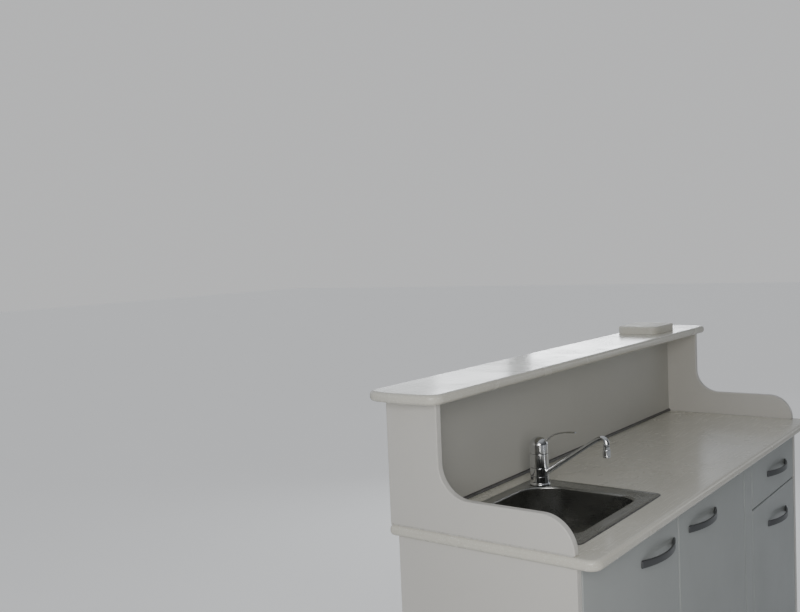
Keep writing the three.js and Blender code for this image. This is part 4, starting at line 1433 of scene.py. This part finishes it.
class GALLEY_OT_stage(bpy.types.Operator):
    """Floor, surrounding light, lamps and the camera"""

    bl_idname = "galley.stage"
    bl_label = "Stage"

    def execute(self, context):
        stage = context.scene.galley_stage
        self.floor(stage)
        self.surroundings(context, stage)
        for name, place, target, size, setting, share, colour in LAMPS:
            self.lamp(name, place, target, size, getattr(stage, setting) * share, colour)
        self.camera(context, stage)
        return {"FINISHED"}

    def floor(self, stage):
        """A wide plain floor, with a glow that only the camera sees."""
        deselect_all()
        bpy.ops.mesh.primitive_plane_add(size=60, location=(0, 0, 0))
        floor = settle(named("floor"))
        paint = Finish("floor_paint", 0.7)
        tone = paint.spread(paint.noise(1.3, 4.0, 0.6), 0.3, 0.7)
        paint.colour(paint.mixed(tone, shade(stage.floor_colour, 0.985), shade(stage.floor_colour, 1.015)))
        paint.set(paint.shader.inputs["Emission Color"], stage.floor_colour)
        looking = paint.node("ShaderNodeLightPath").outputs["Is Camera Ray"]
        paint.set(paint.shader.inputs["Emission Strength"], paint.times(looking, stage.floor_glow))
        floor.data.materials.append(paint.material)

    def surroundings(self, context, stage):
        """Light from all round, brighter beyond the bar than before the doors, and a plain backdrop."""
        world = bpy.data.worlds.new("studio")
        context.scene.world = world
        world.use_nodes = True
        sky = Nodes(world.node_tree, "Generated")
        ring = sky.spread(sky.along(1), -0.6, 0.6, stage.front_sky, stage.back_sky)
        strength = sky.between(sky.spread(sky.along(2), 0.3, 0.95), ring, stage.top_sky)
        lit = sky.node("ShaderNodeBackground", {"Color": (0.93, 0.96, 1.0), "Strength": strength})
        seen = sky.node("ShaderNodeBackground", {"Color": stage.backdrop})
        looking = sky.node("ShaderNodeLightPath").outputs["Is Camera Ray"]
        mix = sky.node("ShaderNodeMixShader", {0: looking, 1: lit.outputs[0], 2: seen.outputs[0]})
        sky.set(world.node_tree.nodes["World Output"].inputs["Surface"], mix.outputs[0])

    def lamp(self, name, place, target, size, power, colour):
        deselect_all()
        bpy.ops.object.light_add(type="AREA", location=place)
        lamp = named(name)
        lamp.data.shape = "RECTANGLE"
        lamp.data.size, lamp.data.size_y = size
        lamp.data.energy = power
        lamp.data.color = colour
        lamp.visible_camera = False
        lamp.rotation_euler = (Vector(target) - Vector(place)).to_track_quat("-Z", "Y").to_euler()

    def camera(self, context, stage):
        yaw, pitch, roll = (math.radians(angle) for angle in EYE_ANGLES)
        ahead = Vector((math.cos(yaw) * math.cos(pitch), math.sin(yaw) * math.cos(pitch), -math.sin(pitch)))
        level = Vector((math.sin(yaw), -math.cos(yaw), 0))
        upright = level.cross(ahead)
        right = level * math.cos(roll) + upright * math.sin(roll)
        up = upright * math.cos(roll) - level * math.sin(roll)
        deselect_all()
        bpy.ops.object.camera_add()
        camera = named("camera")
        camera.data.sensor_width = 36
        camera.data.lens = stage.focal_length
        camera.data.clip_end = 200
        turn = Matrix((right, up, -ahead)).transposed().to_4x4()
        camera.matrix_world = Matrix.Translation(EYE) @ turn
        context.scene.camera = camera


STEPS = (
    GALLEY_OT_finishes,
    GALLEY_OT_worktop,
    GALLEY_OT_raised_bar,
    GALLEY_OT_cabinet,
    GALLEY_OT_screw_caps,
    GALLEY_OT_doors,
    GALLEY_OT_drawers,
    GALLEY_OT_sink,
    GALLEY_OT_waste,
    GALLEY_OT_tap,
    GALLEY_OT_sealant,
    GALLEY_OT_stage,
)


class GALLEY_PT_counter(bpy.types.Panel):
    """Sizes, colours and steps of the counter"""

    bl_idname = "GALLEY_PT_counter"
    bl_label = "Galley Counter"
    bl_space_type = "VIEW_3D"
    bl_region_type = "UI"
    bl_category = "Galley"

    def draw(self, context):
        scene = context.scene
        groups = {"Finishes": scene.galley_finishes, "Sizes": scene.galley_sizes, "Stage": scene.galley_stage}
        for label, group in groups.items():
            box = self.layout.box()
            box.label(text=label)
            for key in group.__annotations__:
                box.prop(group, key)
        for step in STEPS:
            self.layout.operator(step.bl_idname)


CLASSES = (GalleyFinishes, GalleySizes, GalleyStage, *STEPS, GALLEY_PT_counter)


def register():
    for kind in CLASSES:
        bpy.utils.register_class(kind)
    bpy.types.Scene.galley_finishes = PointerProperty(type=GalleyFinishes)
    bpy.types.Scene.galley_sizes = PointerProperty(type=GalleySizes)
    bpy.types.Scene.galley_stage = PointerProperty(type=GalleyStage)


def unregister():
    del bpy.types.Scene.galley_stage
    del bpy.types.Scene.galley_sizes
    del bpy.types.Scene.galley_finishes
    for kind in reversed(CLASSES):
        bpy.utils.unregister_class(kind)


def main():
    register()
    bpy.ops.galley.finishes()
    bpy.ops.galley.worktop()
    bpy.ops.galley.raised_bar()
    bpy.ops.galley.cabinet()
    bpy.ops.galley.screw_caps()
    bpy.ops.galley.doors()
    bpy.ops.galley.drawers()
    bpy.ops.galley.sink()
    bpy.ops.galley.waste()
    bpy.ops.galley.tap()
    bpy.ops.galley.sealant()
    bpy.ops.galley.stage()


if __name__ == "__main__":
    main()
